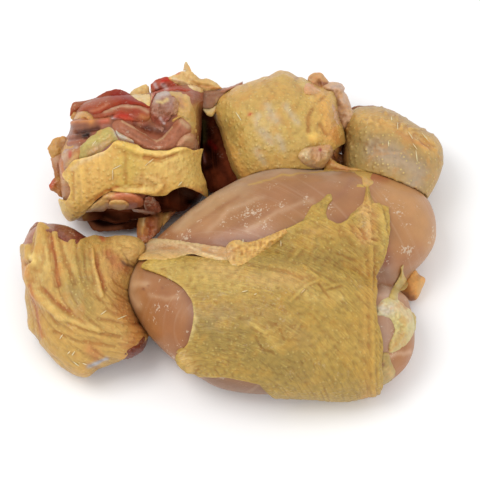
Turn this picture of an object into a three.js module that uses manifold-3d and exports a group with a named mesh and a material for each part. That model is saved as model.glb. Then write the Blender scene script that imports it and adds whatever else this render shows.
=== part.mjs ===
// A whole chicken cut into pieces and heaped: the skinned breast in front, the back with its
// bones behind it on the left, a thigh and a drumstick behind it, and a leg piece at its left.
// Millimetres, +Z up, the middle of the footprint at the origin, the heap resting on z = 0.
//
// Every big piece is a closed surface round a middle point. Along each direction its distance is a
// smooth largest value of the ways out of a few ellipsoids, and it is then fitted, across the line
// of sight, to the outline that the heap shows from the front and above. Places written [across, up]
// are millimetres in that view, on the plane through the view's aim; a third number is a height.
import * as THREE from 'three';
import { mergeVertices } from 'three/addons/utils/BufferGeometryUtils.js';
import Module from 'manifold-3d';

const wasm = await Module();
wasm.setup();

// Driving sizes
const VIEW_TILT = 58;         // degrees that the outlines' line of sight falls below level
const VIEW_DISTANCE = 1500;   // from the eye to the view's aim
const CENTRE = [-3.3, -13];   // the footprint's middle, which is moved to the origin
const SKIN = 1.8;             // thickness of the skin
const CLEAR = 1.5;            // from the meat to the skin over it
const GAP = 0.35;             // between neighbours where one is cut by the other
const UNDER_SKIN = GAP + 0.3; // from a lump to what lies on its bare meat
const OVER_SKIN = SKIN + CLEAR + UNDER_SKIN; // from a lump to what lies on its skin
const BLEND = 14;             // how sharply ellipsoids meet: a higher number, a sharper valley
const END_FULLNESS = 1.6;     // how blunt a strand's ends are
const EDGE_FADE = 1.6;        // how fast a sheet's inner rows lose the shape of its sides
const STRAND_SIDES = 8;       // sides of a strand's cross-section
const STRAND_LIFT = 0.8;      // from a lump to a strand's middle line, beyond the gap

// How finely shapes are worked out
const RIM_STEPS = 72;         // directions in which a silhouette is measured
const RIM_START = 0.5;        // radians from the line of sight at which the search for it begins,
const RIM_END = 2.6;          // and ends,
const RIM_TURN = 0.02;        // and its step
const DEPTH_STEP = 0.25;      // millimetres by which a place is moved out of a lump
const FIT_ROUNDS = 6;         // steps that settle a place's depth, or undo the fit to an outline
const HALVINGS = 30;          // times that a range is halved to find a place in it
const FACING = [-0.2, 0.3];   // folds fade in where the surface turns from edge-on to the eye
const OVERLAP_TOLERANCE = 1e-3; // cubic millimetres

const tilt = THREE.MathUtils.degToRad(VIEW_TILT);
const ACROSS = new THREE.Vector3(1, 0, 0);
const UP = new THREE.Vector3(0, Math.sin(tilt), Math.cos(tilt));
const TOWARDS = new THREE.Vector3(0, -Math.cos(tilt), Math.sin(tilt));

// Turns the pile's directions into [across, up, towards the eye]
const INTO_VIEW = new THREE.Quaternion().setFromRotationMatrix(
  new THREE.Matrix4().makeBasis(ACROSS, UP, TOWARDS)).invert();

// The point at a given depth towards the eye that shows at [across, up]
function atDepth(across, up, depth) {
  const near = (VIEW_DISTANCE - depth) / VIEW_DISTANCE;
  return ACROSS.clone().multiplyScalar(across * near)
    .addScaledVector(UP, up * near).addScaledVector(TOWARDS, depth);
}

// The point at a given height that shows at [across, up]
function seen(across, up, height) {
  const sight = ACROSS.clone().multiplyScalar(across / VIEW_DISTANCE)
    .addScaledVector(UP, up / VIEW_DISTANCE).sub(TOWARDS);
  const eye = TOWARDS.clone().multiplyScalar(VIEW_DISTANCE);
  return eye.addScaledVector(sight, (height - eye.z) / sight.z);
}

// Where a point shows: [across, up]
function picture(point) {
  const shrink = VIEW_DISTANCE / (VIEW_DISTANCE - point.dot(TOWARDS));
  return [point.dot(ACROSS) * shrink, point.dot(UP) * shrink];
}

// Value of a closed list at a part-turn, by a smooth curve through its values
function around(values, turn) {
  const count = values.length;
  const place = ((turn % 1) + 1) % 1 * count;
  const index = Math.floor(place);
  const t = place - index;
  const [a, b, c, d] = [-1, 0, 1, 2].map((step) => values[(index + step + count) % count]);
  return b + 0.5 * t * (c - a + t * (2 * a - 5 * b + 4 * c - d + t * (3 * (b - c) + d - a)));
}

// The last value from low to high for which a condition holds, if it holds from low on
function halved(low, high, holds) {
  for (let halving = 0; halving < HALVINGS; halving += 1) {
    const middle = (low + high) / 2;
    if (holds(middle)) low = middle;
    else high = middle;
  }
  return low;
}

// Distance from a point to a path of points, both in the view's plane
function pathDistance([x, y], path) {
  let nearest = Infinity;
  for (let i = 0; i < Math.max(path.length - 1, 1); i += 1) {
    const [x0, y0] = path[i];
    const [x1, y1] = path[Math.min(i + 1, path.length - 1)];
    const length = (x1 - x0) ** 2 + (y1 - y0) ** 2;
    const along = length ? ((x - x0) * (x1 - x0) + (y - y0) * (y1 - y0)) / length : 0;
    const t = THREE.MathUtils.clamp(along, 0, 1);
    nearest = Math.min(nearest, Math.hypot(x - x0 - t * (x1 - x0), y - y0 - t * (y1 - y0)));
  }
  return nearest;
}

// Height of the ridges and hollows over a point of the view's plane
function relief(place, folds) {
  return folds.reduce((sum, { path, width, height }) =>
    sum + height * Math.exp(-((pathDistance(place, path) / width) ** 2)), 0);
}

// A closed surface round a middle, made of ellipsoid lobes and fitted to an outline
class Lump {
  constructor({ middle, lobes, outline = null, folds = [], blend = BLEND, coat = 0, facing = false }) {
    this.middle = middle.isVector3 ? middle : seen(...middle);
    this.lobes = lobes.map(({ at = [0, 0, 0], half, turn = 0 }) => {
      const unturn = new THREE.Quaternion().setFromAxisAngle(
        new THREE.Vector3(0, 0, 1), THREE.MathUtils.degToRad(-turn));
      const spin = facing ? unturn.multiply(INTO_VIEW) : unturn;
      return { at: new THREE.Vector3(...at), half: new THREE.Vector3(...half), spin };
    });
    this.folds = folds;
    this.blend = blend;
    this.fit = null;
    if (outline) {
      const widths = Array.from({ length: RIM_STEPS }, (_, i) => this.silhouette(i / RIM_STEPS));
      this.fit = widths.map((width, i) => (around(outline, i / RIM_STEPS) - coat) / width);
      this.evenFit = this.fit.reduce((sum, value) => sum + value, 0) / RIM_STEPS;
    }
  }

  // Distance from the middle to the surface before it is fitted
  reach(direction) {
    const total = this.lobes.reduce((sum, { at, half, spin }) => {
      const d = direction.clone().applyQuaternion(spin).divide(half);
      const c = at.clone().applyQuaternion(spin).divide(half);
      const dc = d.dot(c);
      const dd = d.lengthSq();
      return sum + ((dc + Math.sqrt(dc * dc - dd * (c.lengthSq() - 1))) / dd) ** this.blend;
    }, 0);
    return total ** (1 / this.blend);
  }

  // Direction at a part-turn round the line of sight and an angle away from it
  direction(turn, angle) {
    const side = Math.sin(angle);
    return ACROSS.clone().multiplyScalar(side * Math.cos(turn * 2 * Math.PI))
      .addScaledVector(UP, side * Math.sin(turn * 2 * Math.PI))
      .addScaledVector(TOWARDS, Math.cos(angle));
  }

  // Widest half width at a part-turn, and the angle at which it is reached
  silhouetteAngle(turn) {
    let best = [0, 0];
    for (let angle = RIM_START; angle < RIM_END; angle += RIM_TURN) {
      const width = this.reach(this.direction(turn, angle)) * Math.sin(angle);
      if (width > best[0]) best = [width, angle];
    }
    return best;
  }

  silhouette(turn) {
    return this.silhouetteAngle(turn)[0];
  }

  // How much the surface is widened across the view, for a direction before fitting:
  // by the outline's own shape at the silhouette, and evenly where it faces the eye
  stretch(direction) {
    if (!this.fit) return 1;
    const [x, y] = [direction.dot(ACROSS), direction.dot(UP)];
    const turn = Math.atan2(y, x) / (2 * Math.PI);
    return this.evenFit + (around(this.fit, turn) - this.evenFit) * (x * x + y * y);
  }

  // Point of the surface along a direction, lifted off it by a height
  point(direction, lift = 0, plain = false) {
    const start = direction.clone().multiplyScalar(this.reach(direction));
    const [x, y] = [start.dot(ACROSS), start.dot(UP)];
    const grow = this.stretch(direction) - 1;
    const place = start.addScaledVector(ACROSS, x * grow).addScaledVector(UP, y * grow);
    const outward = place.clone().normalize();
    const facing = THREE.MathUtils.smoothstep(outward.dot(TOWARDS), ...FACING);
    place.add(this.middle);
    const height = plain ? 0 : relief(picture(place), this.folds) * facing;
    place.addScaledVector(outward, height + lift);
    place.z = Math.max(place.z, 0);
    return place;
  }

  // Whether a point lies within a distance of the surface's inside
  holds(point, gap) {
    const from = point.clone().sub(this.middle);
    const far = from.length();
    if (far === 0) return true;
    const [x, y] = [from.dot(ACROSS), from.dot(UP)];
    let start = from.clone();
    for (let round = 0; round < FIT_ROUNDS && this.fit; round += 1) {
      const shrink = 1 / this.stretch(start.clone().normalize()) - 1;
      start = from.clone().addScaledVector(ACROSS, x * shrink).addScaledVector(UP, y * shrink);
    }
    const depth = this.reach(start.clone().normalize()) / start.length() * far;
    return far < depth + relief(picture(point), this.folds) + gap;
  }

  // Flat place, inside a disc, of the direction in which the surface shows at [across, up].
  // The disc's edge is the silhouette, and a place beyond the silhouette wraps behind it.
  locate([across, up]) {
    let depth = this.middle.dot(TOWARDS);
    let flat = [0, 0];
    for (let round = 0; round < FIT_ROUNDS; round += 1) {
      const near = (VIEW_DISTANCE - depth) / VIEW_DISTANCE;
      const x = across * near - this.middle.dot(ACROSS);
      const y = up * near - this.middle.dot(UP);
      const turn = Math.atan2(y, x) / (2 * Math.PI);
      const width = Math.hypot(x, y);
      const fitted = (at) => {
        const direction = this.direction(turn, at);
        return this.reach(direction) * Math.sin(at) * this.stretch(direction);
      };
      const edge = this.silhouetteAngle(turn)[1];
      const widest = fitted(edge);
      let angle = edge + (width - widest) / widest;
      if (width < widest) angle = halved(0, edge, (at) => fitted(at) < width);
      const direction = this.direction(turn, angle);
      depth = this.middle.dot(TOWARDS) + this.reach(direction) * Math.cos(angle);
      const spread = Math.tan(angle / 2);
      flat = [spread * Math.cos(turn * 2 * Math.PI), spread * Math.sin(turn * 2 * Math.PI)];
    }
    return flat;
  }

  // Direction of a flat place
  aim(x, y) {
    const angle = 2 * Math.atan(Math.hypot(x, y));
    return this.direction(Math.atan2(y, x) / (2 * Math.PI), angle);
  }
}

// The point that shows at [across, up] and lies a lift clear of a lump's surface
function onto(lump, across, up, lift) {
  const [x, y] = lump.locate([across, up]);
  const turn = Math.atan2(y, x) / (2 * Math.PI);
  const angle = Math.min(2 * Math.atan(Math.hypot(x, y)), lump.silhouetteAngle(turn)[1]);
  let depth = lump.point(lump.direction(turn, angle), lift).dot(TOWARDS);
  while (lump.holds(atDepth(across, up, depth), lift)) depth += DEPTH_STEP;
  return atDepth(across, up, depth);
}

// A point drawn back towards an anchor until it is clear of the neighbours
function press(point, anchor, neighbours) {
  const blocked = (place) => neighbours.some(({ of, gap }) => of.holds(place, gap));
  if (!blocked(point)) return point;
  const between = (share) => anchor.clone().lerp(point, share);
  return between(halved(0, 1, (share) => !blocked(between(share))));
}

// A geometry whose faces share their corners
function indexed(geometry) {
  geometry.deleteAttribute('normal');
  geometry.deleteAttribute('uv');
  return mergeVertices(geometry);
}

// A geometry with each corner moved
function mapPositions(geometry, move) {
  const position = geometry.attributes.position;
  const place = new THREE.Vector3();
  for (let i = 0; i < position.count; i += 1) {
    const moved = move(place.fromBufferAttribute(position, i).clone());
    position.setXYZ(i, moved.x, moved.y, moved.z);
  }
  return geometry;
}

// The whole of a lump, on a ball whose faces are as many rows as given
function body(lump, rows, neighbours = []) {
  const ball = indexed(new THREE.BoxGeometry(2, 2, 2, rows, rows, rows));
  return mapPositions(ball, (place) => {
    const even = new THREE.Vector3(...place.toArray().map((v) => Math.tan(v * Math.PI / 4)));
    return press(lump.point(even.normalize()), lump.middle, neighbours);
  });
}

// A smooth curve through flat places
function side(lump, places) {
  const points = places.map((place) => new THREE.Vector3(...lump.locate(place), 0));
  return new THREE.CatmullRomCurve3(points, false, 'centripetal');
}

// The flat place at shares u across and v down a sheet whose four sides are curves: the straight
// lines between its corners, and each side's own bulge, which fades away from that side
function within(north, east, south, west, u, v) {
  const straight = (curve, t) => curve.getPointAt(0).lerp(curve.getPointAt(1), t);
  const bulge = (curve, t, share) =>
    curve.getPointAt(t).sub(straight(curve, t)).multiplyScalar(share ** EDGE_FADE);
  return straight(north, u).lerp(straight(south, u), v)
    .add(bulge(north, u, 1 - v)).add(bulge(south, u, v))
    .add(bulge(west, v, 1 - u)).add(bulge(east, v, u));
}

// Corner numbers of the two faces of a sheet of columns and rows, turned outward on both
function sheetFaces(columns, rows, corner) {
  const faces = [];
  for (let column = 0; column < columns; column += 1) {
    for (let row = 0; row < rows; row += 1) {
      for (const face of [0, 1]) {
        const [a, b, c, d] = [[0, 0], [1, 0], [1, 1], [0, 1]]
          .map(([i, j]) => corner(column + i, row + j, face));
        if (face) faces.push(a, d, c, a, c, b);
        else faces.push(a, c, d, a, b, c);
      }
    }
  }
  return faces;
}

// A sheet of skin over a lump, its four sides given in the view's plane: top and bottom run left to
// right, left and right run downwards. The sheet thins to an edge all round.
function sheet(lump, { top, right, bottom, left, columns, rows, folds = [] }, neighbours = []) {
  const sides = [top, right, bottom, left].map((places) => side(lump, places));
  const points = [];
  const number = new Map();
  const corner = (column, row, face) => {
    const edge = column === 0 || row === 0 || column === columns || row === rows;
    const key = `${column} ${row} ${edge ? 0 : face}`;
    if (!number.has(key)) {
      const { x, y } = within(...sides, column / columns, row / rows);
      const aim = lump.aim(x, y);
      const wave = relief(picture(lump.point(aim, 0, true)), folds);
      const lift = CLEAR + Math.max(wave, 0) + (edge ? SKIN / 2 : SKIN);
      const outer = press(lump.point(aim, lift), lump.middle, neighbours);
      const inward = lump.middle.clone().sub(outer).normalize();
      points.push(edge || face ? outer : outer.addScaledVector(inward, SKIN));
      number.set(key, points.length - 1);
    }
    return number.get(key);
  };
  const faces = sheetFaces(columns, rows, corner);
  const places = points.flatMap((point) => point.toArray());
  const geometry = new THREE.BufferGeometry();
  geometry.setAttribute('position', new THREE.Float32BufferAttribute(places, 3));
  geometry.setIndex(faces);
  return geometry;
}

// Smooth value along an open list
function profile(values, along) {
  const points = values.map((value, i) => new THREE.Vector3(i / (values.length - 1), value, 0));
  return new THREE.CatmullRomCurve3(points, false, 'centripetal').getPoint(along).y;
}

// A soft strand or roll through points, as wide and as thick each way from its middle as given
function strand(points, wide, thick, neighbours = [], steps = 8) {
  const curve = new THREE.CatmullRomCurve3(points, false, 'centripetal');
  const ball = indexed(new THREE.SphereGeometry(1, STRAND_SIDES, steps));
  return mapPositions(ball, ({ x, y, z }) => {
    const along = (1 - y) / 2;
    const place = curve.getPointAt(along);
    const tangent = curve.getTangentAt(along);
    const out = TOWARDS.clone().addScaledVector(tangent, -TOWARDS.dot(tangent)).normalize();
    const sideways = new THREE.Vector3().crossVectors(tangent, out);
    const round = Math.hypot(x, z);
    const swell = round ? Math.min(1, round * END_FULLNESS) / round : 0;
    const skin = place.clone().addScaledVector(sideways, -x * swell * profile(wide, along))
      .addScaledVector(out, z * swell * profile(thick, along));
    skin.z = Math.max(skin.z, 0);
    return press(skin, place, neighbours);
  });
}

// A strand that lies on a lump, a gap clear of it: its path is [across, up]
function strandOn(lump, gap, path, wide, thick, neighbours = [], steps = 8) {
  const points = path.map(([across, up]) => onto(lump, across, up, gap + STRAND_LIFT));
  return strand(points, wide, thick, [{ of: lump, gap }, ...neighbours], steps);
}

// A strand that hangs free, through places [across, up, height]
function free(places, wide, thick, neighbours, steps) {
  return strand(places.map((place) => seen(...place)), wide, thick, neighbours, steps);
}

// A small round piece that lies on a lump, a gap clear of it, its half sizes across, up and towards
// the eye. More may give a turn, its fineness, its outline's radii, its rise and its neighbours.
function knob(lump, gap, [across, up], half, more = {}) {
  const { turn = 0, rows = 3, outline = null, rise = 0.3, others = [] } = more;
  const middle = onto(lump, across, up, gap + rise * half[2]);
  const piece = new Lump({ middle, lobes: [{ half, turn }], facing: true, outline });
  return body(piece, rows, [{ of: lump, gap }, ...others]);
}

// The solid that a closed geometry bounds
function solid(geometry) {
  return new wasm.Manifold(new wasm.Mesh({
    numProp: 3,
    vertProperties: new Float32Array(geometry.attributes.position.array),
    triVerts: new Uint32Array(geometry.index.array),
  }));
}

// The geometry of a solid's surface
function surface(manifold) {
  const mesh = manifold.getMesh();
  const geometry = new THREE.BufferGeometry();
  geometry.setAttribute('position', new THREE.BufferAttribute(mesh.vertProperties, 3));
  geometry.setIndex(new THREE.BufferAttribute(mesh.triVerts, 1));
  return geometry;
}

// A geometry with its faces moved outward by a distance
function grown(geometry, distance) {
  const copy = geometry.clone();
  copy.computeVertexNormals();
  const { position, normal } = copy.attributes;
  for (let i = 0; i < position.count; i += 1) {
    position.setXYZ(i, position.getX(i) + normal.getX(i) * distance,
      position.getY(i) + normal.getY(i) * distance, position.getZ(i) + normal.getZ(i) * distance);
  }
  return copy;
}

// Several geometries joined into one
const fuse = (geometries) => surface(geometries.map(solid).reduce((whole, part) => whole.add(part)));

// What is left of a piece once its neighbours are cut out of it, loose crumbs dropped
function carve(geometry, neighbours) {
  let whole = solid(geometry);
  let changed = false;
  for (const neighbour of neighbours) {
    if (whole.intersect(solid(neighbour)).volume() < OVERLAP_TOLERANCE) continue;
    whole = whole.subtract(solid(grown(neighbour, GAP)));
    changed = true;
  }
  if (!changed) return geometry;
  const largest = whole.decompose().sort((a, b) => b.volume() - a.volume())[0];
  return surface(largest);
}

// The breast, both halves on the bone
const BREAST = {
  middle: [26, -29, 24],
  lobes: [
    { at: [22, 36, 6], half: [98, 54, 40], turn: 3 },
    { at: [-10, -30, 2], half: [98, 56, 43] },
  ],
  outline: [80, 104, 111, 99, 85, 77, 75, 73, 72, 74, 79, 88,
    97, 91, 83, 77, 74, 70, 68, 71, 82, 91, 95, 88],
  folds: [
    { path: [[100, -14], [95, -29]], width: 6, height: -5 },
    { path: [[-53, 0], [0, -5], [40, 3]], width: 9, height: -2 },
  ],
};
const BREAST_SKIN = {
  top: [[-63, -18], [-50, -10], [-26, -11], [-5, -13], [15, -6], [33, 8], [49, 14], [65, 10],
    [77, 19], [88, 23], [96, 20]],
  right: [[96, 20], [97, 6], [96, -4], [93, -17], [89, -27], [88, -37], [88, -45], [90, -56],
    [92, -67], [92, -82], [92, -96], [92, -107]],
  bottom: [[-26, -88], [-7, -89], [15, -94], [27, -102], [43, -107], [59, -111], [76, -111], [92, -107]],
  left: [[-63, -18], [-46, -25], [-35, -33], [-29, -49], [-33, -66], [-40, -76], [-26, -88]],
  columns: 18,
  rows: 12,
  folds: [
    { path: [[83, 17], [87, 0]], width: 7, height: 3 },
    { path: [[-36, -78], [-32, -83]], width: 4, height: 3 },
    { path: [[79, -6], [83, -39]], width: 4, height: 1.5 },
  ],
};

const breast = new Lump(BREAST);
const breastMeat = body(breast, 12);
const tears = [
  strandOn(breast, CLEAR, [[49, 10], [55, 17], [61, 29]], [5, 5, 2], [1.5, 1.5, 1]),
  strandOn(breast, CLEAR, [[84, 12], [83, 27], [83, 37]], [6, 4, 1.5], [2, 2, 1.5]),
  strandOn(breast, CLEAR, [[93, 8], [95, 17], [97, 25]], [4, 3.5, 2], [1.5, 1.5, 1]),
];
const breastSkin = fuse([sheet(breast, BREAST_SKIN), ...tears]);

// The leg piece at the left
const LEG = {
  middle: [-102, -41, 24],
  lobes: [
    { at: [0, 0, 0], half: [40, 50, 33] },
    { at: [-14, 16, -4], half: [30, 36, 27] },
    { at: [16, -16, -4], half: [30, 34, 25] },
  ],
  outline: [30, 30, 34, 51, 52, 45, 45, 55, 62, 60, 49, 41,
    38, 37, 38, 38, 40, 44, 47, 42, 43, 50, 48, 35],
  coat: SKIN + CLEAR,
};
const leg = new Lump(LEG);
const legMeat = body(leg, 9, [{ of: breast, gap: OVER_SKIN }]);
const LEG_SKIN = {
  top: [[-149, -14], [-143, -8], [-135, -3], [-132, 4], [-128, 7], [-123, 5], [-117, 1], [-108, -2],
    [-100, 0], [-93, 4], [-84, 5], [-73, 4], [-59, 2]],
  right: [[-59, 2], [-62, -14], [-67, -33], [-65, -47], [-58, -56]],
  bottom: [[-136, -74], [-121, -89], [-106, -96], [-94, -85], [-86, -79], [-74, -72], [-65, -63],
    [-58, -56]],
  left: [[-149, -14], [-147, -33], [-144, -52], [-136, -74]],
  columns: 14,
  rows: 13,
  folds: [
    { path: [[-129, 4], [-130, -17], [-136, -26], [-125, -42], [-117, -51], [-99, -58]],
      width: 3.5, height: 3 },
    { path: [[-98, -9], [-95, -26], [-90, -38]], width: 2.5, height: 1.6 },
    { path: [[-79, -1], [-73, -12], [-67, -14]], width: 5, height: 1.4 },
  ],
};
const legSkin = sheet(leg, LEG_SKIN, [{ of: breast, gap: UNDER_SKIN }]);

// The thigh behind the breast
const THIGH = {
  middle: [28, 72, 34],
  lobes: [
    { half: [48, 40, 36], turn: 8 },
    { at: [-12, 8, 4], half: [34, 30, 32] },
  ],
  outline: [40, 39, 41, 38, 38, 41, 38, 40, 45, 48, 41, 40, 42, 44, 43, 43, 45, 49, 46, 43],
  coat: SKIN + CLEAR,
};
const thigh = new Lump(THIGH);
const thighMeat = body(thigh, 8, [{ of: breast, gap: OVER_SKIN }]);
const THIGH_SKIN = {
  top: [[-20, 83], [-17, 98], [7, 111], [30, 121], [44, 114], [51, 103]],
  right: [[51, 103], [61, 93], [65, 80], [67, 69], [61, 63]],
  bottom: [[4, 39], [18, 32], [34, 36], [48, 53], [61, 63]],
  left: [[-20, 83], [-18, 80], [-14, 72], [-8, 60], [-2, 49], [4, 39]],
  columns: 11,
  rows: 11,
  folds: [
    { path: [[16, 106], [29, 112], [41, 109]], width: 3, height: 2 },
    { path: [[48, 68]], width: 4, height: 3 },
  ],
};
const thighSkin = sheet(thigh, THIGH_SKIN, [{ of: breast, gap: UNDER_SKIN }]);

// The drumstick at the right
const DRUM = {
  middle: [102, 54, 26],
  lobes: [
    { half: [34, 50, 28], turn: 24 },
  ],
  outline: [32, 32, 28, 28, 32, 39, 44, 37, 35, 35, 35, 36, 37, 36, 32, 31],
  coat: SKIN + CLEAR,
};
const drum = new Lump(DRUM);
const drumMeat = body(drum, 7, [
  { of: breast, gap: OVER_SKIN },
  { of: thigh, gap: OVER_SKIN + SKIN + CLEAR },
]);
const DRUM_SKIN = {
  top: [[66, 82], [74, 85], [88, 86], [100, 84], [111, 79], [129, 73], [141, 61]],
  right: [[141, 61], [140, 45], [131, 24]],
  bottom: [[65, 33], [86, 23], [106, 19], [131, 24]],
  left: [[66, 82], [63, 66], [65, 33]],
  columns: 11,
  rows: 11,
};
const drumSkin = sheet(drum, DRUM_SKIN, [
  { of: breast, gap: UNDER_SKIN },
  { of: thigh, gap: OVER_SKIN },
]);

// The back, a box of bone and meat with a hollow low in front
const BACK = {
  middle: [-69, 56, 36],
  lobes: [
    { half: [62, 40, 40] },
    { at: [-16, 4, 6], half: [48, 38, 34] },
    { at: [20, 6, 2], half: [44, 40, 38] },
  ],
  blend: 8,
  outline: [42, 44, 50, 62, 53, 43, 40, 41, 44, 48, 47, 46,
    49, 51, 55, 58, 50, 47, 43, 42, 46, 52, 52, 44],
  folds: [
    { path: [[-48, 25], [-32, 27]], width: 9, height: -20 },
    { path: [[-92, 17], [-73, 17]], width: 5, height: -12 },
    { path: [[-59, 76], [-50, 74]], width: 7, height: -8 },
    { path: [[-36, 93], [-32, 73]], width: 6, height: 3 },
  ],
};
const back = new Lump(BACK);
const backBody = body(back, 10, [{ of: breast, gap: SKIN + CLEAR }]);
const BACK_SKIN = {
  top: [[-111, 49], [-106, 54], [-99, 55], [-90, 59], [-82, 65], [-77, 66], [-70, 64], [-63, 60],
    [-56, 59], [-50, 60], [-41, 61], [-34, 60], [-28, 60]],
  right: [[-28, 60], [-29, 53], [-28, 45], [-26, 38], [-23, 28]],
  bottom: [[-121, 15], [-115, 14], [-106, 16], [-101, 21], [-96, 26], [-89, 31], [-82, 34], [-71, 34],
    [-59, 32], [-53, 31], [-46, 34], [-38, 36], [-30, 33], [-23, 28]],
  left: [[-111, 49], [-115, 44], [-112, 39], [-110, 35], [-112, 29], [-119, 28], [-121, 22], [-121, 15]],
  columns: 16,
  rows: 8,
};

// The skin bridges the back's hollows
const smoothBack = new Lump({ ...BACK, folds: [] });
const backSkin = sheet(smoothBack, BACK_SKIN, [{ of: breast, gap: UNDER_SKIN }]);

// Strands and lumps on the breast
const skinRoll = strandOn(breast, OVER_SKIN, [[-65, -10], [-58, -6], [-43, -6], [-26, -8], [-12, -10],
  [0, -9], [15, -5], [29, 2]], [2, 6, 6.5, 6, 6.5, 8.5, 5, 1], [2, 3.5, 3.5, 3.5, 4.5, 5.5, 4, 1.5],
  [], 12);
const topFat = strandOn(breast, UNDER_SKIN, [[61, 52], [69, 48], [78, 46], [87, 45], [96, 45]],
  [1.5, 2, 4, 3, 1], [1.5, 2, 3, 2, 1.2], [{ of: drum, gap: OVER_SKIN }, { of: thigh, gap: OVER_SKIN }]);
const endFat = strandOn(breast, UNDER_SKIN,
  [[92, -46], [98, -45], [105, -48], [108, -55], [106, -63], [100, -72]],
  [3, 5, 6, 7, 6, 2], [3, 4, 5, 6, 5, 3]);
const fatFinger = strandOn(breast, UNDER_SKIN, [[107, -17], [108, -25], [105, -32], [100, -38]],
  [1.5, 3.5, 4, 3], [2, 3, 3, 2]);
const lowFat = knob(breast, UNDER_SKIN, [98.5, -84], [5, 10, 4], { turn: -6 });

// The orange tip that pokes out from under the breast's right end
const tipShape = new Lump({ middle: [114, -29, 10], lobes: [{ half: [8.5, 10.5, 8] }], facing: true });
const tip = body(tipShape, 4, [{ of: breast, gap: UNDER_SKIN }]);

// The rolled skin at the top of the leg piece
const legRoll = strandOn(leg, OVER_SKIN, [[-74, -3], [-71, -7], [-69, -12], [-67, -16]],
  [3, 5, 5, 2.5], [2, 3, 3, 2], [{ of: breast, gap: UNDER_SKIN }]);

// The thigh's cut ends
const knuckle = knob(thigh, OVER_SKIN, [50, 56], [12, 8.5, 7],
  { rows: 4, others: [{ of: breast, gap: UNDER_SKIN }] });
const topKnob = knob(thigh, OVER_SKIN, [50, 103], [8.5, 7, 7], { rise: 0 });
const meatEnd = strandOn(thigh, OVER_SKIN, [[54, 101], [62, 98], [65, 90], [68, 83], [66, 74]],
  [4, 7, 8, 8, 4], [4, 7, 8, 7, 4], [{ of: drum, gap: OVER_SKIN }]);

// What shows on the back's cut top, its near side and its hollow
const onBack = (...spec) => strandOn(back, UNDER_SKIN, ...spec);
const redMuscle = onBack([[-109, 86], [-96, 88], [-82, 91], [-70, 90], [-61, 86]],
  [4, 7, 9, 8, 4], [4, 7, 9, 8, 4]);
const redBand = onBack([[-90, 80], [-79, 80], [-67, 80], [-59, 77]], [2, 3, 3.5, 2], [2, 3, 4, 2]);
const fatWedge = knob(back, UNDER_SKIN, [-65, 96], [7.5, 7, 7], { turn: 20, rise: 0 });
const hipRidge = onBack([[-59, 89], [-57, 99], [-50, 103], [-41, 101], [-32, 99]],
  [2.5, 4, 5, 4, 2], [2, 4, 5, 4, 2]);
const hipKnob = knob(back, UNDER_SKIN, [-49, 89], [7, 8.5, 7]);
const fatFlap = knob(back, UNDER_SKIN, [-29, 105], [17, 7, 6], { turn: -12, rows: 4, rise: 0 });
const fatBand = onBack([[-43, 95], [-36, 95], [-32, 89], [-31, 80], [-29, 69]],
  [3, 3.5, 4, 4, 3], [2, 3, 3, 3, 2]);
const meatStrip = free([[-29, 93, 56], [-20, 94, 50], [-11, 97, 44], [-1, 101, 42]],
  [6, 7.5, 5.5, 2], [5, 8, 6, 3], [{ of: back, gap: UNDER_SKIN }, { of: thigh, gap: OVER_SKIN }]);
const stripFat = knob(back, UNDER_SKIN, [-18, 87], [5.5, 3, 4],
  { others: [{ of: thigh, gap: OVER_SKIN }] });
const ledge = onBack([[-84, 77], [-78, 71], [-67, 66], [-55, 63], [-46, 66], [-40, 74], [-38, 81]],
  [2, 4, 4, 4, 4, 4, 2], [2, 3.5, 4, 4, 4, 4, 2], [], 10);
const jointEnd = knob(back, UNDER_SKIN, [-34, 64], [6, 5, 5]);
const membrane = knob(back, UNDER_SKIN, [-95, 65], [15, 5, 4], { turn: 35, rise: 0.2 });
const sideFlap = knob(back, UNDER_SKIN, [-119, 59], [9, 10, 5],
  { outline: [8, 9, 8, 9, 7, 8, 10, 9], rise: 0 });
const sideMeat = knob(back, OVER_SKIN, [-119, 35], [9, 7, 5],
  { outline: [9, 7, 6, 7, 7.5, 5, 6, 8], rise: 0 });
const organ = strandOn(back, UNDER_SKIN, [[-100, 19], [-92, 24], [-79, 28], [-67, 28], [-61, 23]],
  [2, 4, 5.5, 5, 3], [2, 4, 5, 5, 3]);
const ORGAN_THICK = 5;
const organFat = knob(back, UNDER_SKIN + ORGAN_THICK, [-82, 23], [5.5, 3, 3.5]);
const innerFlap = knob(back, UNDER_SKIN, [-57, 22], [4.5, 6, 4]);
const lowerWall = free(
  [[-103, 18, 7], [-98, 13, 6], [-90, 11, 5], [-77, 11, 5], [-67, 15, 6], [-59, 18, 7]],
  [2.5, 5, 5.5, 5.5, 4.5, 2.5], [3, 4, 4, 4, 4, 3], [{ of: back, gap: UNDER_SKIN }], 10);
const gapWall = new Lump({ middle: [-15, 59, 16], lobes: [{ half: [17, 37, 16], turn: 12 }] });
const innerWall = body(gapWall, 4,
  [{ of: back, gap: OVER_SKIN }, { of: thigh, gap: OVER_SKIN }, { of: breast, gap: UNDER_SKIN }]);
const neck = free([[-57, 17, 20], [-58, 11, 16], [-60, 4, 12], [-63, -4, 9]],
  [6, 7.5, 6.5, 3], [4, 5, 5, 3],
  [{ of: back, gap: OVER_SKIN }, { of: breast, gap: UNDER_SKIN }, { of: leg, gap: OVER_SKIN }]);

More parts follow.
